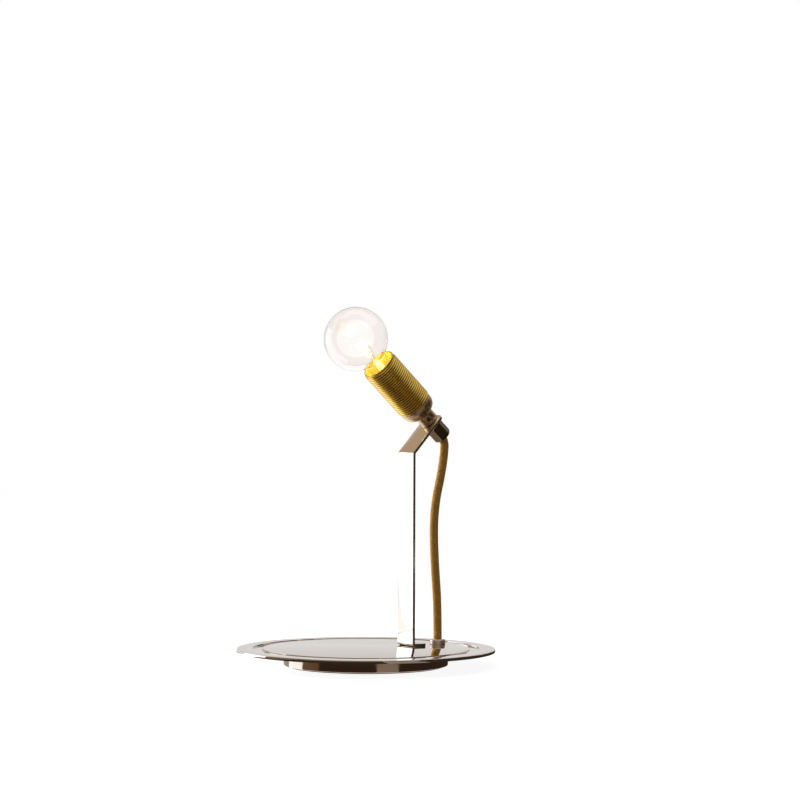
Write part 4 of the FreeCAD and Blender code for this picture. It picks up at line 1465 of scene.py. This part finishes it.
# ------------------------------------------------------------------ lead and inner wires
@dataclass
class LampLead:
    """The braided lead from the lampholder to the base, in metres, and the bush that takes it."""

    radius: float = 0.00315
    route: Sequence[Place] = (
        (0.0, 0.059965, 0.166353), (0.0, 0.0666, 0.1602), (0.0, 0.0661, 0.1485), (0.0, 0.0634, 0.1335),
        (0.0, 0.0589, 0.1160), (0.0, 0.0571, 0.0960), (0.0, 0.0585, 0.0680), (0.0, 0.0610, 0.0400),
        (0.0, 0.0610, 0.0133))
    carriers: int = 8
    yarns: int = 3
    yarn_radius: float = 0.00024
    yarn_spacing: float = 2.05
    yarn_packing: float = 0.93
    crossing: float = 0.00014
    lay: float = 0.0135
    step: float = 0.00062
    collar_radius: float = 5.6
    collar_top: float = 16.3
    plate_top: float = 12.8
    stem_radius: float = 4.0
    stem_root: float = 3.6
    stem_bottom: float = 8.0
    seat: float = 13.3
    bore: float = 3.0
    nut_flats: float = 12.0
    nut_heights: Point = (8.3, 10.5)
    nut_bore: float = 4.05
    bush_y: float = 61.0

    def build(self, shop: Workshop) -> None:
        """Makes the lead, its bush and the nut under the plate."""
        self.cord(shop)
        self.bush(shop)

    def cord(self, shop: Workshop) -> None:
        """The braid: three-yarn carriers crossing over and under round a dark core.

        Args:
            shop: the workshop.
        """
        path = evaluated(route_curve("lead_route", self.route))
        points = [tuple(vertex.co) for vertex in path.vertices]
        length = sum(math.dist(a, b) for a, b in zip(points, points[1:]))
        winding = self.radius - self.yarn_radius - self.crossing
        slant = math.cos(math.atan(TURN * winding / self.lay))
        braid = shop.braids.grow(
            put("lead_path", path), Finishes.braid, step=self.step, radius=winding, yarn_radius=self.yarn_radius,
            crossing=self.crossing, gap=self.yarn_spacing * self.yarn_radius / winding / slant * self.yarn_packing,
            turns=length / self.lay, carriers=self.carriers, yarns=self.yarns, ways=2, seed=11)
        line = [tuple(c / MM for c in spot) for spot in self.route]
        core = taken(route_curve("lead_core", line, (winding - self.crossing * 0.6) / MM, 6))
        whole = merged([braid, placed(core, Matrix.Scale(MM, 4))])
        made = shop.piece("braided_lead", whole, Finishes.braid, "braid_gold", ["lamp_cord"], sharp=60.0, scale=1.0)

    def bush(self, shop: Workshop) -> None:
        """The collared bush and its nut.

        Args:
            shop: the workshop.
        """
        seat_radius, root, stem = self.radius / MM + 0.15, self.stem_root, self.stem_radius
        collar, top, plate, foot = self.collar_radius, self.collar_top, self.plate_top, self.stem_bottom
        profile = filleted([
            (root, plate - 0.6, 0), (stem, plate - 0.4, 0), (stem, plate, 0), (collar, plate, 0.12), (collar, top, 0.9),
            (seat_radius, top, 0.35), (seat_radius, self.seat, 0.1), (self.bore, self.seat, 0.1), (self.bore, foot, 0),
            (root, foot, 0),
        ], closed=False)
        thread = Thread(root, stem, 0.75, foot, plate - 0.6, 0.5, around=64, across=6)
        bush = moved(shop.threaded([profile], thread, Finishes.bush), y=self.bush_y)
        shop.piece("lead_bush", bush, Finishes.bush, "nickel_bush", ["cord_bush"])
        low, high = self.nut_heights
        nut = hexagon_body(self.nut_flats, low, high, 0.5, [(self.nut_bore, high), (self.nut_bore, low)], 30.0)
        nut = moved(nut, y=self.bush_y)
        shop.piece("lead_bush_nut", nut, Finishes.small_brass, "brass_small", ["cord_bush_nut"])


@dataclass
class InnerWiring:
    """The cores in the foot and the block that joins them to the mains."""

    core_radius: float = 0.9
    live: Sequence[Place] = (
        (0.0, 62.15, 13.3), (0.0, 62.15, 5.0), (0.3, 47.75, 5.0), (0.0, 32.75, 6.6), (5.0, 22.5, 6.6), (5.0, 14.0, 6.6))
    neutral: Sequence[Place] = (
        (-0.996, 60.425, 13.3), (-0.996, 60.425, 6.9), (-4.6, 54.41, 6.9), (-10.8, 45.71, 6.9), (-10.8, 31.75, 6.6),
        (-5.0, 21.5, 6.6), (-5.0, 14.0, 6.6))
    earth: Sequence[Place] = (
        (0.996, 60.425, 13.3), (0.996, 60.425, 6.9), (4.6, 54.41, 6.9), (12.0, 47.41, 6.9), (27.873, 35.722, 4.9),
        (32.523, 27.668, 4.9))
    pole_screw: Screw = Screw(1.1, 2.4, 0.4)
    pole_screws: Sequence[Place] = ((-5.0, 7.0, 3.2), (-5.0, 13.0, 3.2), (5.0, 7.0, 3.2), (5.0, 13.0, 3.2))
    block_screw: Screw = Screw(1.4, 7.1, 0.5, Head.CHEESE, 2.5, 1.5, Drive.CROSS)

    def build(self, shop: Workshop) -> None:
        """Makes the cores and the terminal block's screws, and dresses the block.

        Args:
            shop: the workshop.
        """
        for name, colour, route, finish in (
            ("live", "brown", self.live, Finishes.brown_wire),
            ("neutral", "blue", self.neutral, Finishes.blue_wire),
            ("earth", "earth", self.earth, Finishes.green_wire),
        ):
            wire = round_wire(route, self.core_radius)
            shop.piece(f"{name}_core", wire, finish, f"wire_{colour}", [f"{name}_wire"])
        shop.dress("terminal_block", Finishes.block)
        shop.dress("terminal_sleeves", Finishes.small_brass)
        clamp = self.pole_screw.build(shop, Finishes.steel)
        shop.fixings("pole_screws", clamp, self.pole_screws, "terminal_screws")
        fixing = moved(self.block_screw.build(shop, Finishes.steel), 0.0, 10.0, 3.2)
        shop.piece("block_fixing", fixing, Finishes.steel, "steel_fixings", ["block_screw"])


# ------------------------------------------------------------------ lampholder
@dataclass
class Holder:
    """The threaded lampholder, upright on its own axis; the arm's front face is height 0."""

    grip_flats: float = 11.7
    grip_low: float = -15.9
    grip_high: float = -2.0
    grip_seat: float = -8.9
    grip_turn: float = 15.0
    nipple_radius: float = 5.0
    nipple_root: float = 4.6
    nipple_bore: float = 3.4
    nipple_top: float = 8.1
    neck_radius: float = 6.7
    washer_radii: Point = (5.2, 6.6)
    washer_top: float = 0.6
    dome_radius: float = 6.6
    dome_height: float = 14.8
    band_radius: float = 12.4
    shoulder: float = 18.0
    spigot_radius: float = 11.25
    spigot_bore: float = 10.2
    spigot_top: float = 22.0
    grub: Screw = Screw(1.5, 1.5, 0.45)
    grub_angle: float = -22.0
    grub_height: float = 4.4
    grub_hole: float = 1.55
    grub_end: float = 6.6
    barrel_top: float = 59.2
    barrel_inner: float = 11.3
    barrel_root: float = 12.2
    barrel_crest: float = 12.95
    barrel_pitch: float = 1.75
    lip_height: float = 1.5
    ledge_radius: float = 9.3
    ledge_low: float = 26.2
    ledge_high: float = 27.2
    core_radius: float = 11.05
    tube_radius: float = 9.0
    core_top: float = 46.0
    core_floor: float = 27.5
    core_bore: float = 7.4
    shell_root: float = 7.15
    shell_crest: float = 6.93
    shell_pitch: float = 2.82
    shell_low: float = 28.2
    terminal_screw: Screw = Screw(0.9, 3.4, 0.35, Head.CHEESE, 1.8, 1.6)
    terminal_offset: float = 6.2
    wire_radius: float = 0.8

    def build(self, shop: Workshop) -> None:
        """Makes every piece of the lampholder.

        Args:
            shop: the workshop.
        """
        put_on = partial(shop.piece, place=shop.on_arm)
        self.entry(shop, put_on)
        self.cap(shop, put_on)
        self.barrel(shop, put_on)
        self.inside(shop, put_on)

    def entry(self, shop: Workshop, put_on: partial) -> None:
        """The hexagonal grip, its insert, the threaded nipple and the washer.

        Args:
            shop: the workshop.
            put_on: the workshop's piece call, with its place given.
        """
        r, root, bore, top, low, seat = (
            self.nipple_radius, self.nipple_root, self.nipple_bore, self.nipple_top, self.grip_low, self.grip_seat)
        hole = [(r + 0.05, self.grip_high), (r + 0.05, seat), (root, seat), (root, low + 1.5), (3.45, low + 1.5),
                (3.45, low + 0.9), (3.6, low + 0.45), (4.35, low)]
        body = hexagon_body(self.grip_flats, low, self.grip_high, 0.7, hole, self.grip_turn)
        put_on("hex_grip", body, Finishes.grip, "brass_dark", ["cord_grip"], sharp=28.0)
        shop.dress("cord_grip_insert", Finishes.insert)
        ease = 0.2
        inner = [(root, top - ease), (root - ease, top), (bore, top), (bore, seat), (root - ease, seat),
                 (root, seat + ease)]
        thread = Thread(root, r, 0.75, seat + ease, top - ease, 0.5, around=64, across=6)
        nipple = shop.threaded([inner], thread, Finishes.small_brass)
        put_on("threaded_nipple", nipple, Finishes.small_brass, "brass_dark", ["entry_nipple"])
        ring = washer(*self.washer_radii, 0.0, self.washer_top)
        put_on("arm_washer", ring, Finishes.grip, "brass_dark", ["arm_lock_washer"])

    def cap(self, shop: Workshop, put_on: partial) -> None:
        """The domed cap with its neck, band, notch and spigot, and the grub screw in the neck.

        Args:
            shop: the workshop.
            put_on: the workshop's piece call, with its place given.
        """
        band, spigot, bore = self.band_radius, self.spigot_radius, self.spigot_bore
        rise, shoulder, top, hole = self.dome_height, self.shoulder, self.spigot_top, self.nipple_radius + 0.05
        centre, notch = band - self.dome_radius, shoulder - 0.8
        drop = math.degrees(math.acos((self.neck_radius - centre) / self.dome_radius))
        dome = arc((centre, rise), self.dome_radius, -drop, 0.0, 20)
        inner = arc((centre, rise), bore - centre, 0.0, -90.0, 12)
        outside = filleted([(hole, self.washer_top, 0.2), (self.neck_radius, self.washer_top, 0.3)], closed=False)
        rim = filleted([
            (band, rise, 0), (band, notch, 0.15), (band - 0.5, notch, 0.1), (band - 0.5, shoulder, 0.1),
            (spigot, shoulder, 0.1), (spigot, top, 0.25), (bore, top, 0.1), (bore, rise, 0),
        ], closed=False, steps=3)
        body = lathe(outside + dome + rim[1:-1] + inner + [(hole, inner[-1][1])], 160)
        across = level(self.grub_angle, self.grub_height)
        body = carved(body, placed(cylinder(self.grub_hole, 4.0, 9.0), across))
        put_on("domed_cap", body, Finishes.cap, "brass_holder", ["holder_cap"], sharp=35.0)
        outward = across @ Matrix.Translation((0, 0, self.grub_end)) @ Matrix.Rotation(math.pi, 4, "X")
        grub = placed(self.grub.build(shop, Finishes.grub), outward)
        put_on("grub_screw", grub, Finishes.grub, "steel_fixings", ["cap_grub_screw"])

    def barrel(self, shop: Workshop, put_on: partial) -> None:
        """The sleeve: a fine screw thread for a shade ring, a plain lip, and the ledge inside.

        Args:
            shop: the workshop.
            put_on: the workshop's piece call, with its place given.
        """
        root, top, inner, ledge = self.barrel_root, self.barrel_top, self.barrel_inner, self.ledge_radius
        lip = top - self.lip_height
        profile = filleted([
            (root, lip, 0), (root + 0.3, lip + 0.2, 0.1), (root + 0.3, top, 0.35), (inner, top, 0.25),
            (inner, self.ledge_high, 0.1), (ledge, self.ledge_high, 0.15), (ledge, self.ledge_low, 0.15),
            (inner, self.ledge_low, 0.1), (inner, self.shoulder, 0.1), (root, self.shoulder, 0),
        ], closed=False, steps=3)
        thread = Thread(root, self.barrel_crest, self.barrel_pitch, self.shoulder, lip, 0.7, 0.25, 160, 10, 0.10, 0.80)
        sleeve = shop.threaded([profile], thread, Finishes.sleeve)
        put_on("threaded_sleeve", sleeve, Finishes.sleeve, "brass_holder", ["holder_barrel"], sharp=40.0)

    def inside(self, shop: Workshop, put_on: partial) -> None:
        """Porcelain core, threaded screw shell, contact, terminals and cores.

        Args:
            shop: the workshop.
            put_on: the workshop's piece call, with its place given.
        """
        low, step, top, floor = self.spigot_top, self.spigot_top + 4.0, self.core_top, self.core_floor
        core, tube, bore = self.core_radius, self.tube_radius, self.core_bore
        profile = filleted([
            (0, low, 0), (core, low, 0.4), (core, step, 0.4), (tube, step, 0.6), (tube, top, 0.5), (bore, top, 0.3),
            (bore, floor, 0.3), (0, floor, 0),
        ])
        put_on("porcelain_core", lathe(profile, 96), Finishes.porcelain, "steatite", ["ceramic_core"])
        root, start, lip = self.shell_root, self.shell_low, 8.25
        outer = [(root, start), (root, start - 0.4), (7.3, start - 0.4), (7.35, start - 0.2), (7.35, top), (lip, top),
                 (lip, top + 0.3), (lip - 0.15, top + 0.6), (root + 0.05, top + 0.6), (root, top + 0.2)]
        thread = Thread(root, self.shell_crest, self.shell_pitch, start, top + 0.2, 1.2, 1.0, 72, 10, 0.0, 1.0)
        shell = shop.threaded([outer], thread, Finishes.shell)
        put_on("threaded_shell", shell, Finishes.shell, "brass_small", ["screw_shell"])
        shop.dress("centre_contact", Finishes.small_brass)
        t, end = self.terminal_offset, low - self.terminal_screw.head_height
        screw = self.terminal_screw.build(shop, Finishes.steel)
        shop.fixings("core_screws", screw, [(-t, 0.0, end), (t, 0.0, end)], "core_terminal_screws", shop.on_arm)
        wires = [round_wire([
            (side * 1.5, 0.0, self.grip_seat), (side * 1.5, 0.0, end - 8.5), (side * t, 0.0, end - 3.6),
            (side * t, 0.0, end),
        ], self.wire_radius) for side in (-1.0, 1.0)]
        put_on("holder_cores", merged(wires), Finishes.white_wire, "wire_head", ["holder_wires"])


# ------------------------------------------------------------------ bulb
@dataclass
class Bulb:
    """The round screw bulb, upright on the lampholder's axis."""

    radius: float = 22.5
    centre: float = 84.5
    wall: float = 0.7
    neck: float = 8.8
    fillet: float = 5.0
    held: float = 6.25
    taper_start: float = 0.4
    tip_low: float = 29.0
    tip_radius: float = 2.45
    insulator_low: float = 30.6
    cap_low: float = 33.8
    cap_high: float = 50.6
    cap_root: float = 6.25
    cap_crest: float = 6.85
    cap_pitch: float = 2.82
    glass_low: float = 45.6
    stem_radius: float = 3.0
    stem_top: float = 62.6
    lead_spread: float = 8.0
    lead_top: float = 77.6
    lead_radius: float = 0.35
    filament_rise: float = 2.4
    filament_turns: float = 44.0

    def build(self, shop: Workshop) -> None:
        """Makes every piece of the bulb.

        Args:
            shop: the workshop.
        """
        self.foot(partial(shop.piece, body="bulb_foot", place=shop.on_arm))
        put_on = partial(shop.piece, body="bulb", place=shop.on_arm)
        self.cap(shop, put_on)
        self.glass(put_on)
        self.mount(shop, put_on)

    def foot(self, put_on: partial) -> None:
        """The solder tip and the black glass ring above it.

        Args:
            put_on: the workshop's piece call, with its place given.
        """
        low, base, r = self.insulator_low, self.tip_low, self.tip_radius
        tip = [(0.0, base), *arc((0.0, base + r), r, -84.0, -22.0, 10), (2.3, low), (0.0, low)]
        put_on("solder_tip", lathe(tip, 48), Finishes.solder, "solder", ["bulb_contact_tip"])
        ring = lathe(filleted([
            (0, low, 0), (3.2, low, 0.3), (4.3, 31.9, 0.6), (5.9, 33.0, 0.4), (6.1, self.cap_low, 0.05),
            (0, self.cap_low, 0),
        ]), 72)
        put_on("black_glass_ring", ring, Finishes.insulator, "insulator_black", ["bulb_insulator"])

    def cap(self, shop: Workshop, put_on: partial) -> None:
        """The rolled screw cap: four rounded turns and a flared rim.

        Args:
            shop: the workshop.
            put_on: the workshop's piece call, with its place given.
        """
        root, low, high = self.cap_root, self.cap_low, self.cap_high
        start, end = low + 0.9, high - 3.4
        profile = [(root, end), *filleted([
            (root, end, 0), (6.6, high - 2.4, 0.6), (6.6, high, 0.15), (6.35, high, 0.1), (6.35, high - 2.2, 0.4),
            (6.0, end, 0.3), (6.0, start, 0.3), (4.2, start, 0.1), (4.2, low, 0.2), (5.6, low, 0.5), (root, start, 0),
        ], closed=False, steps=3)[1:]]
        thread = Thread(root, self.cap_crest, self.cap_pitch, start, end, 1.0, 1.0, 72, 10, 0.0, 1.0)
        cap = shop.threaded([profile], thread, Finishes.screw_cap)
        put_on("rolled_screw_cap", cap, Finishes.screw_cap, "bulb_cap_brass", ["bulb_screw_cap"], sharp=50.0)

    def outline(self, inset: float) -> list[Point]:
        """The glass's profile from the screw cap to the crown.

        Args:
            inset: 0 for the outside, or the wall for the inside.

        Returns:
            Profile points that end on the axis.
        """
        across = self.neck + self.fillet
        drop = math.sqrt((self.radius + self.fillet) ** 2 - across ** 2)
        foot = self.centre - drop
        below = math.degrees(math.atan2(drop, across))
        held, neck = self.held - inset, self.neck - inset
        low = self.cap_high + self.taper_start
        taper = [(held, self.glass_low), (held, low)]
        for t in (k / 10.0 for k in range(1, 10)):
            ease = t * t * (3.0 - 2.0 * t)
            taper.append((held + (neck - held) * ease, low + (foot - low) * t))
        hollow = arc((across, foot), self.fillet + inset, 180.0, 180.0 - below, 12)
        globe = arc((0.0, self.centre), self.radius - inset, -below, 90.0, 44)
        globe[-1] = (0.0, globe[-1][1])
        return taper + hollow + globe[1:]

    def glass(self, put_on: partial) -> None:
        """The blown globe, one wall thick all over.

        Args:
            put_on: the workshop's piece call, with its place given.
        """
        globe = lathe(self.outline(0.0) + self.outline(self.wall)[::-1], 128)
        made = put_on("blown_globe", globe, Finishes.globe, "bulb_glass", ["bulb_globe"], sharp=60.0)
        made.visible_shadow = False

    def mount(self, shop: Workshop, put_on: partial) -> None:
        """The glass stem, the two lead wires and the coiled filament.

        Args:
            shop: the workshop.
            put_on: the workshop's piece call, with its place given.
        """
        low, top, r = self.glass_low, self.stem_top, self.stem_radius
        body = lathe(filleted([
            (0, low, 0), (5.5, low, 0.2), (5.5, low + 1.0, 0.4), (3.9, low + 2.5, 0.8), (r, low + 5.0, 0.8),
            (r, top - 4.0, 1.5), (1.8, top, 0.5), (0, top, 0),
        ]), 64)
        for vertex in body.verts:
            pinch = min(max((vertex.co.z - (top - 7.0)) / 4.0, 0.0), 1.0)
            vertex.co.y *= 1.0 - 0.45 * pinch
        made = put_on("pinched_stem", body, Finishes.stem, "stem_glass", ["bulb_stem"], sharp=60.0)
        made.visible_shadow = False
        spread, lead_top = self.lead_spread, self.lead_top
        wires = [round_wire([
            (side * r * 0.45, 0.0, top), (side * r * 0.45, 0.0, top + 4.0), (side * spread, 0.0, lead_top - 5.0),
            (side * spread, 0.0, lead_top + 0.6),
        ], self.lead_radius) for side in (-1.0, 1.0)]
        put_on("lead_wires", merged(wires), Finishes.lead, "lead_nickel", ["bulb_lead_wires"])
        path = bmesh.new()
        shares = (-1.0 + 2.0 * k / 40 for k in range(41))
        spots = [path.verts.new(((spread + 0.2) * t, 0.0, lead_top + 0.4 + self.filament_rise * (1.0 - t * t)))
                 for t in shares]
        for pair in zip(spots, spots[1:]):
            path.edges.new(pair)
        coil = shop.braids.grow(
            put("filament_path", as_data("filament_path", path)), Finishes.filament, step=0.08, radius=0.32,
            yarn_radius=0.08, crossing=0.0, gap=0.0, turns=self.filament_turns, carriers=1, yarns=1, ways=1, seed=1)
        put_on("coiled_filament", coil, Finishes.filament, "tungsten", ["bulb_filament"], sharp=70.0)


# ------------------------------------------------------------------ studio
def direction(azimuth: float, elevation: float = 0.0) -> Vector:
    """The way out from the lamp at these degrees; azimuth 0 is its front and 90 its right."""
    a, e = math.radians(azimuth), math.radians(elevation)
    return Vector((math.sin(a) * math.cos(e), -math.cos(a) * math.cos(e), math.sin(e)))


@dataclass(frozen=True)
class Card:
    """A glowing sheet that only shiny pieces see; azimuths are degrees from the camera's, to the right."""

    name: str
    first: float
    last: float
    colour: Colour
    strength: float = 1.0

    def shape(self, studio: "Studio") -> Mesh:
        """The sheet's mesh, in metres; each kind of card has its own."""
        raise NotImplementedError

    def build(self, studio: "Studio") -> None:
        """Puts the card in the scene.

        Args:
            studio: the studio it stands in.
        """
        thing = put(self.name, as_data(self.name, self.shape(studio)))
        thing.data.materials.append(CardFinish(self.name, self.colour, self.strength).material())
        thing.visible_camera = False
        thing.visible_diffuse = False
        thing.visible_shadow = False
        thing.visible_transmission = False


@dataclass(frozen=True)
class Wall(Card):
    """A curved wall between two heights in degrees above the horizon, some metres off."""

    low: float = -6.0
    high: float = 24.0
    distance: float = 1.4

    def shape(self, studio: "Studio") -> Mesh:
        """The wall's mesh.

        Args:
            studio: the studio it stands in.

        Returns:
            The mesh, in metres.
        """
        columns, rows = 12, 6
        made = bmesh.new()
        bridged(made, [[
            Vector(studio.aim) + direction(studio.azimuth + self.first + (self.last - self.first) * k / columns,
                                           self.low + (self.high - self.low) * n / rows) * self.distance
            for n in range(rows + 1)] for k in range(columns + 1)], around=False)
        return made


@dataclass(frozen=True)
class Cloth(Card):
    """A flat cloth on the floor that one stretch of the foot's and the plate's edge mirrors."""

    reach: float = 1.2

    def shape(self, studio: "Studio") -> Mesh:
        """The cloth's mesh: a strip for the foot's edge, then one for the plate's.

        Args:
            studio: the studio it lies in.

        Returns:
            The mesh, in metres.
        """
        columns = []
        for k in range(33):
            turn = self.first + (self.last - self.first) * k / 32.0
            normal, out = (direction(studio.azimuth + part * turn) for part in (1.0, 2.0))
            foot, rim = normal * studio.foot_radius, normal * studio.rim_radius
            lift = Vector((0.0, 0.0, studio.cloth_height))
            spots = (foot * 0.995, foot + out * 0.098, rim + out * 0.103, rim + out * self.reach)
            columns.append([spot + lift for spot in spots])
        made = bmesh.new()
        bridged(made, columns, around=False)
        return made


@dataclass
class Studio:
    """Pale floor, soft light, dark cards for the metal to reflect, and the camera."""

    azimuth: float = 57.5
    elevation: float = 1.9
    distance: float = 1.618
    focal_pixels: float = 2304.6
    aim: Place = (0.0, 0.0, 0.110)
    aim_pixel: Point = (366.2, 509.8)
    roll: float = 0.15
    world_strength: float = 0.20
    floor_reach: Point = (0.25, 0.70)
    floor_matte: Point = (0.28, 0.03)
    floor_glow: Point = (0.92, 0.99)
    foot_radius: float = 0.0578
    rim_radius: float = 0.091
    cloth_height: float = 0.0004
    halo_radii: Sequence[float] = (0.007, 0.0095, 0.012, 0.0145, 0.0165)
    halo_power: float = 0.11
    dark: Colour = (0.040, 0.025, 0.017)
    band: Colour = (0.30, 0.25, 0.21)
    grey: Colour = (0.45, 0.41, 0.36)

    def build(self) -> None:
        """Sets up the studio."""
        bpy.context.scene.view_settings.view_transform = "Standard"
        self.world()
        self.floor()
        self.cards()
        self.lamps()
        self.camera()

    def seen(self, graph: Graph) -> Term:
        """1 for camera, glossy and transmission rays, and 0 for the rest.

        Args:
            graph: the tree to add to.

        Returns:
            The switch.
        """
        camera, glossy, through = (
            graph.add("ShaderNodeLightPath").outputs[f"Is {kind} Ray"] for kind in ("Camera", "Glossy", "Transmission"))
        return graph.math("MAXIMUM", graph.math("MAXIMUM", camera, glossy), through)

    def world(self) -> None:
        """White where it is seen or reflected, softer where it lights."""
        world = bpy.data.worlds.new("studio")
        world.use_nodes = True
        bpy.context.scene.world = world
        graph = Graph(world.node_tree)
        strength = graph.spread(self.seen(graph), 0.0, 1.0, self.world_strength, 1.0)
        graph.add("ShaderNodeOutputWorld", graph.add("ShaderNodeBackground", WHITE, strength).outputs[0])

    def floor(self) -> None:
        """A pale floor that keeps the lamp's shadow near it and fades to white."""
        made = bmesh.new()
        bmesh.ops.create_grid(made, x_segments=1, y_segments=1, size=6.0)
        thing = put("floor", as_data("floor", made))
        tree = FinishTree("pale_floor")
        away = tree.vector_math("LENGTH", tree.place)
        shade, pale = (tree.spread(away, *self.floor_reach, *ends) for ends in (self.floor_matte, self.floor_glow))
        matte = tree.add("ShaderNodeBsdfDiffuse", shade).outputs[0]
        lift = tree.add("ShaderNodeEmission", WHITE, self.seen(tree) * pale).outputs[0]
        tree.add("ShaderNodeOutputMaterial", tree.add("ShaderNodeAddShader", matte, lift).outputs[0])
        thing.data.materials.append(tree.material)

    def cards(self) -> None:
        """A soft box on the left, the studio's dark sides, and dark cloths low round the lamp."""
        for card in (
            Wall("soft_box", -134.0, -97.0, (0.97, 0.985, 1.03), 2.2, distance=1.3),
            Wall("left_gap", -155.0, -134.5, self.grey, distance=1.3),
            Wall("upper_left", -155.0, -100.0, (0.50, 0.38, 0.24), 1.0, 24.5, 60.0, 1.35),
            Wall("upper_back", 120.5, 204.5, (0.42, 0.38, 0.32), 1.0, 24.5, 60.0, 1.35),
            Wall("camera_side", -96.0, 15.0, (0.25, 0.18, 0.12), high=60.0),
            Wall("band_right", 15.5, 46.0, self.band, high=50.0),
            Wall("right_side", 46.5, 120.0, self.dark, high=40.0),
            Wall("right_back", 120.5, 152.0, (0.30, 0.27, 0.23)),
            Wall("far_back", 152.5, 204.5, (0.77, 0.75, 0.73)),
            Cloth("cloth_edge", -90.0, -68.0, self.grey, reach=0.14),
            Cloth("cloth_white", -67.5, -49.8, (0.97, 1.05, 1.13), 1.75),
            Cloth("cloth_brown", -49.3, -34.0, (0.17, 0.11, 0.07)),
            Cloth("cloth_front", -34.0, 7.5, self.dark),
            Cloth("cloth_band", 7.5, 23.0, self.band),
            Cloth("cloth_right", 23.0, 90.0, self.dark),
        ):
            card.build(self)

    def lamps(self) -> None:
        """Key from the left, a weaker fill from above, the bulb's own light and its halo."""
        self.lamp("key_left", -115.0, 22.0, 1.6, 0.9, 58.0)
        self.lamp("fill_top", -20.0, 75.0, 1.8, 1.4, 8.0)
        self.bulb_light("bulb_light", 0.078, 0.004, 0.2, (1.0, 0.76, 0.30)).visible_transmission = False
        for radius in self.halo_radii:
            power = self.halo_power * (TURN * radius) ** 2
            self.bulb_light("bulb_halo", 0.085, radius, power, (1.0, 0.97, 0.93)).visible_camera = False

    def lamp(self, name: str, azimuth: float, elevation: float, distance: float, size: float, power: float) -> None:
        """A square soft light aimed at the lamp's middle; its azimuth is from the camera's.

        Args:
            name: the light's name.
            azimuth: degrees from the camera's.
            elevation: degrees above the horizon.
            distance: metres from the lamp's middle.
            size: the square's side in metres.
            power: its power in watts.
        """
        out = direction(self.azimuth + azimuth, elevation)
        data = bpy.data.lights.new(name, "AREA")
        data.size = size
        data.energy = power
        thing = put(name, data)
        thing.location = Vector(self.aim) + out * distance
        thing.rotation_euler = (-out).to_track_quat("-Z", "Y").to_euler()
        thing.visible_glossy = False
        thing.visible_transmission = False

    def bulb_light(self, name: str, height: float, radius: float, power: float, colour: Colour) -> Thing:
        """A ball of light on the bulb's axis.

        Args:
            name: its name.
            height: how far up the holder's axis it stands, in metres.
            radius: its radius, in metres.
            power: its power, in watts.
            colour: its colour.

        Returns:
            The light.
        """
        data = bpy.data.lights.new(name, "POINT")
        data.energy = power
        data.shadow_soft_size = radius
        data.color = colour
        thing = put(name, data)
        thing.location = Vector(HOLDER_PLACE) + Vector(HOLDER_AXIS) * height
        return thing

    def camera(self) -> None:
        """The photograph's point of view."""
        data = bpy.data.cameras.new("camera")
        data.sensor_width = SENSOR
        data.lens = SENSOR * self.focal_pixels / IMAGE_PIXELS
        data.shift_x = (IMAGE_PIXELS / 2.0 - self.aim_pixel[0]) / IMAGE_PIXELS
        data.shift_y = (self.aim_pixel[1] - IMAGE_PIXELS / 2.0) / IMAGE_PIXELS
        data.clip_end = 50.0
        data.dof.use_dof = False
        thing = put("camera", data)
        out = direction(self.azimuth, self.elevation)
        thing.location = Vector(self.aim) + out * self.distance
        look = (-out).to_track_quat("-Z", "Y").to_matrix().to_4x4()
        thing.rotation_euler = (look @ Matrix.Rotation(math.radians(self.roll), 4, "Z")).to_euler()
        bpy.context.scene.camera = thing


def main() -> None:
    """Builds the lamp sub-assembly by sub-assembly, then the studio."""
    shop = Workshop()
    for assembly in (Base(), Post(), LampLead(), InnerWiring(), Holder(), Bulb()):
        log.info("building %s", type(assembly).__name__)
        assembly.build(shop)
    Studio().build()


if __name__ == "__main__":
    main()
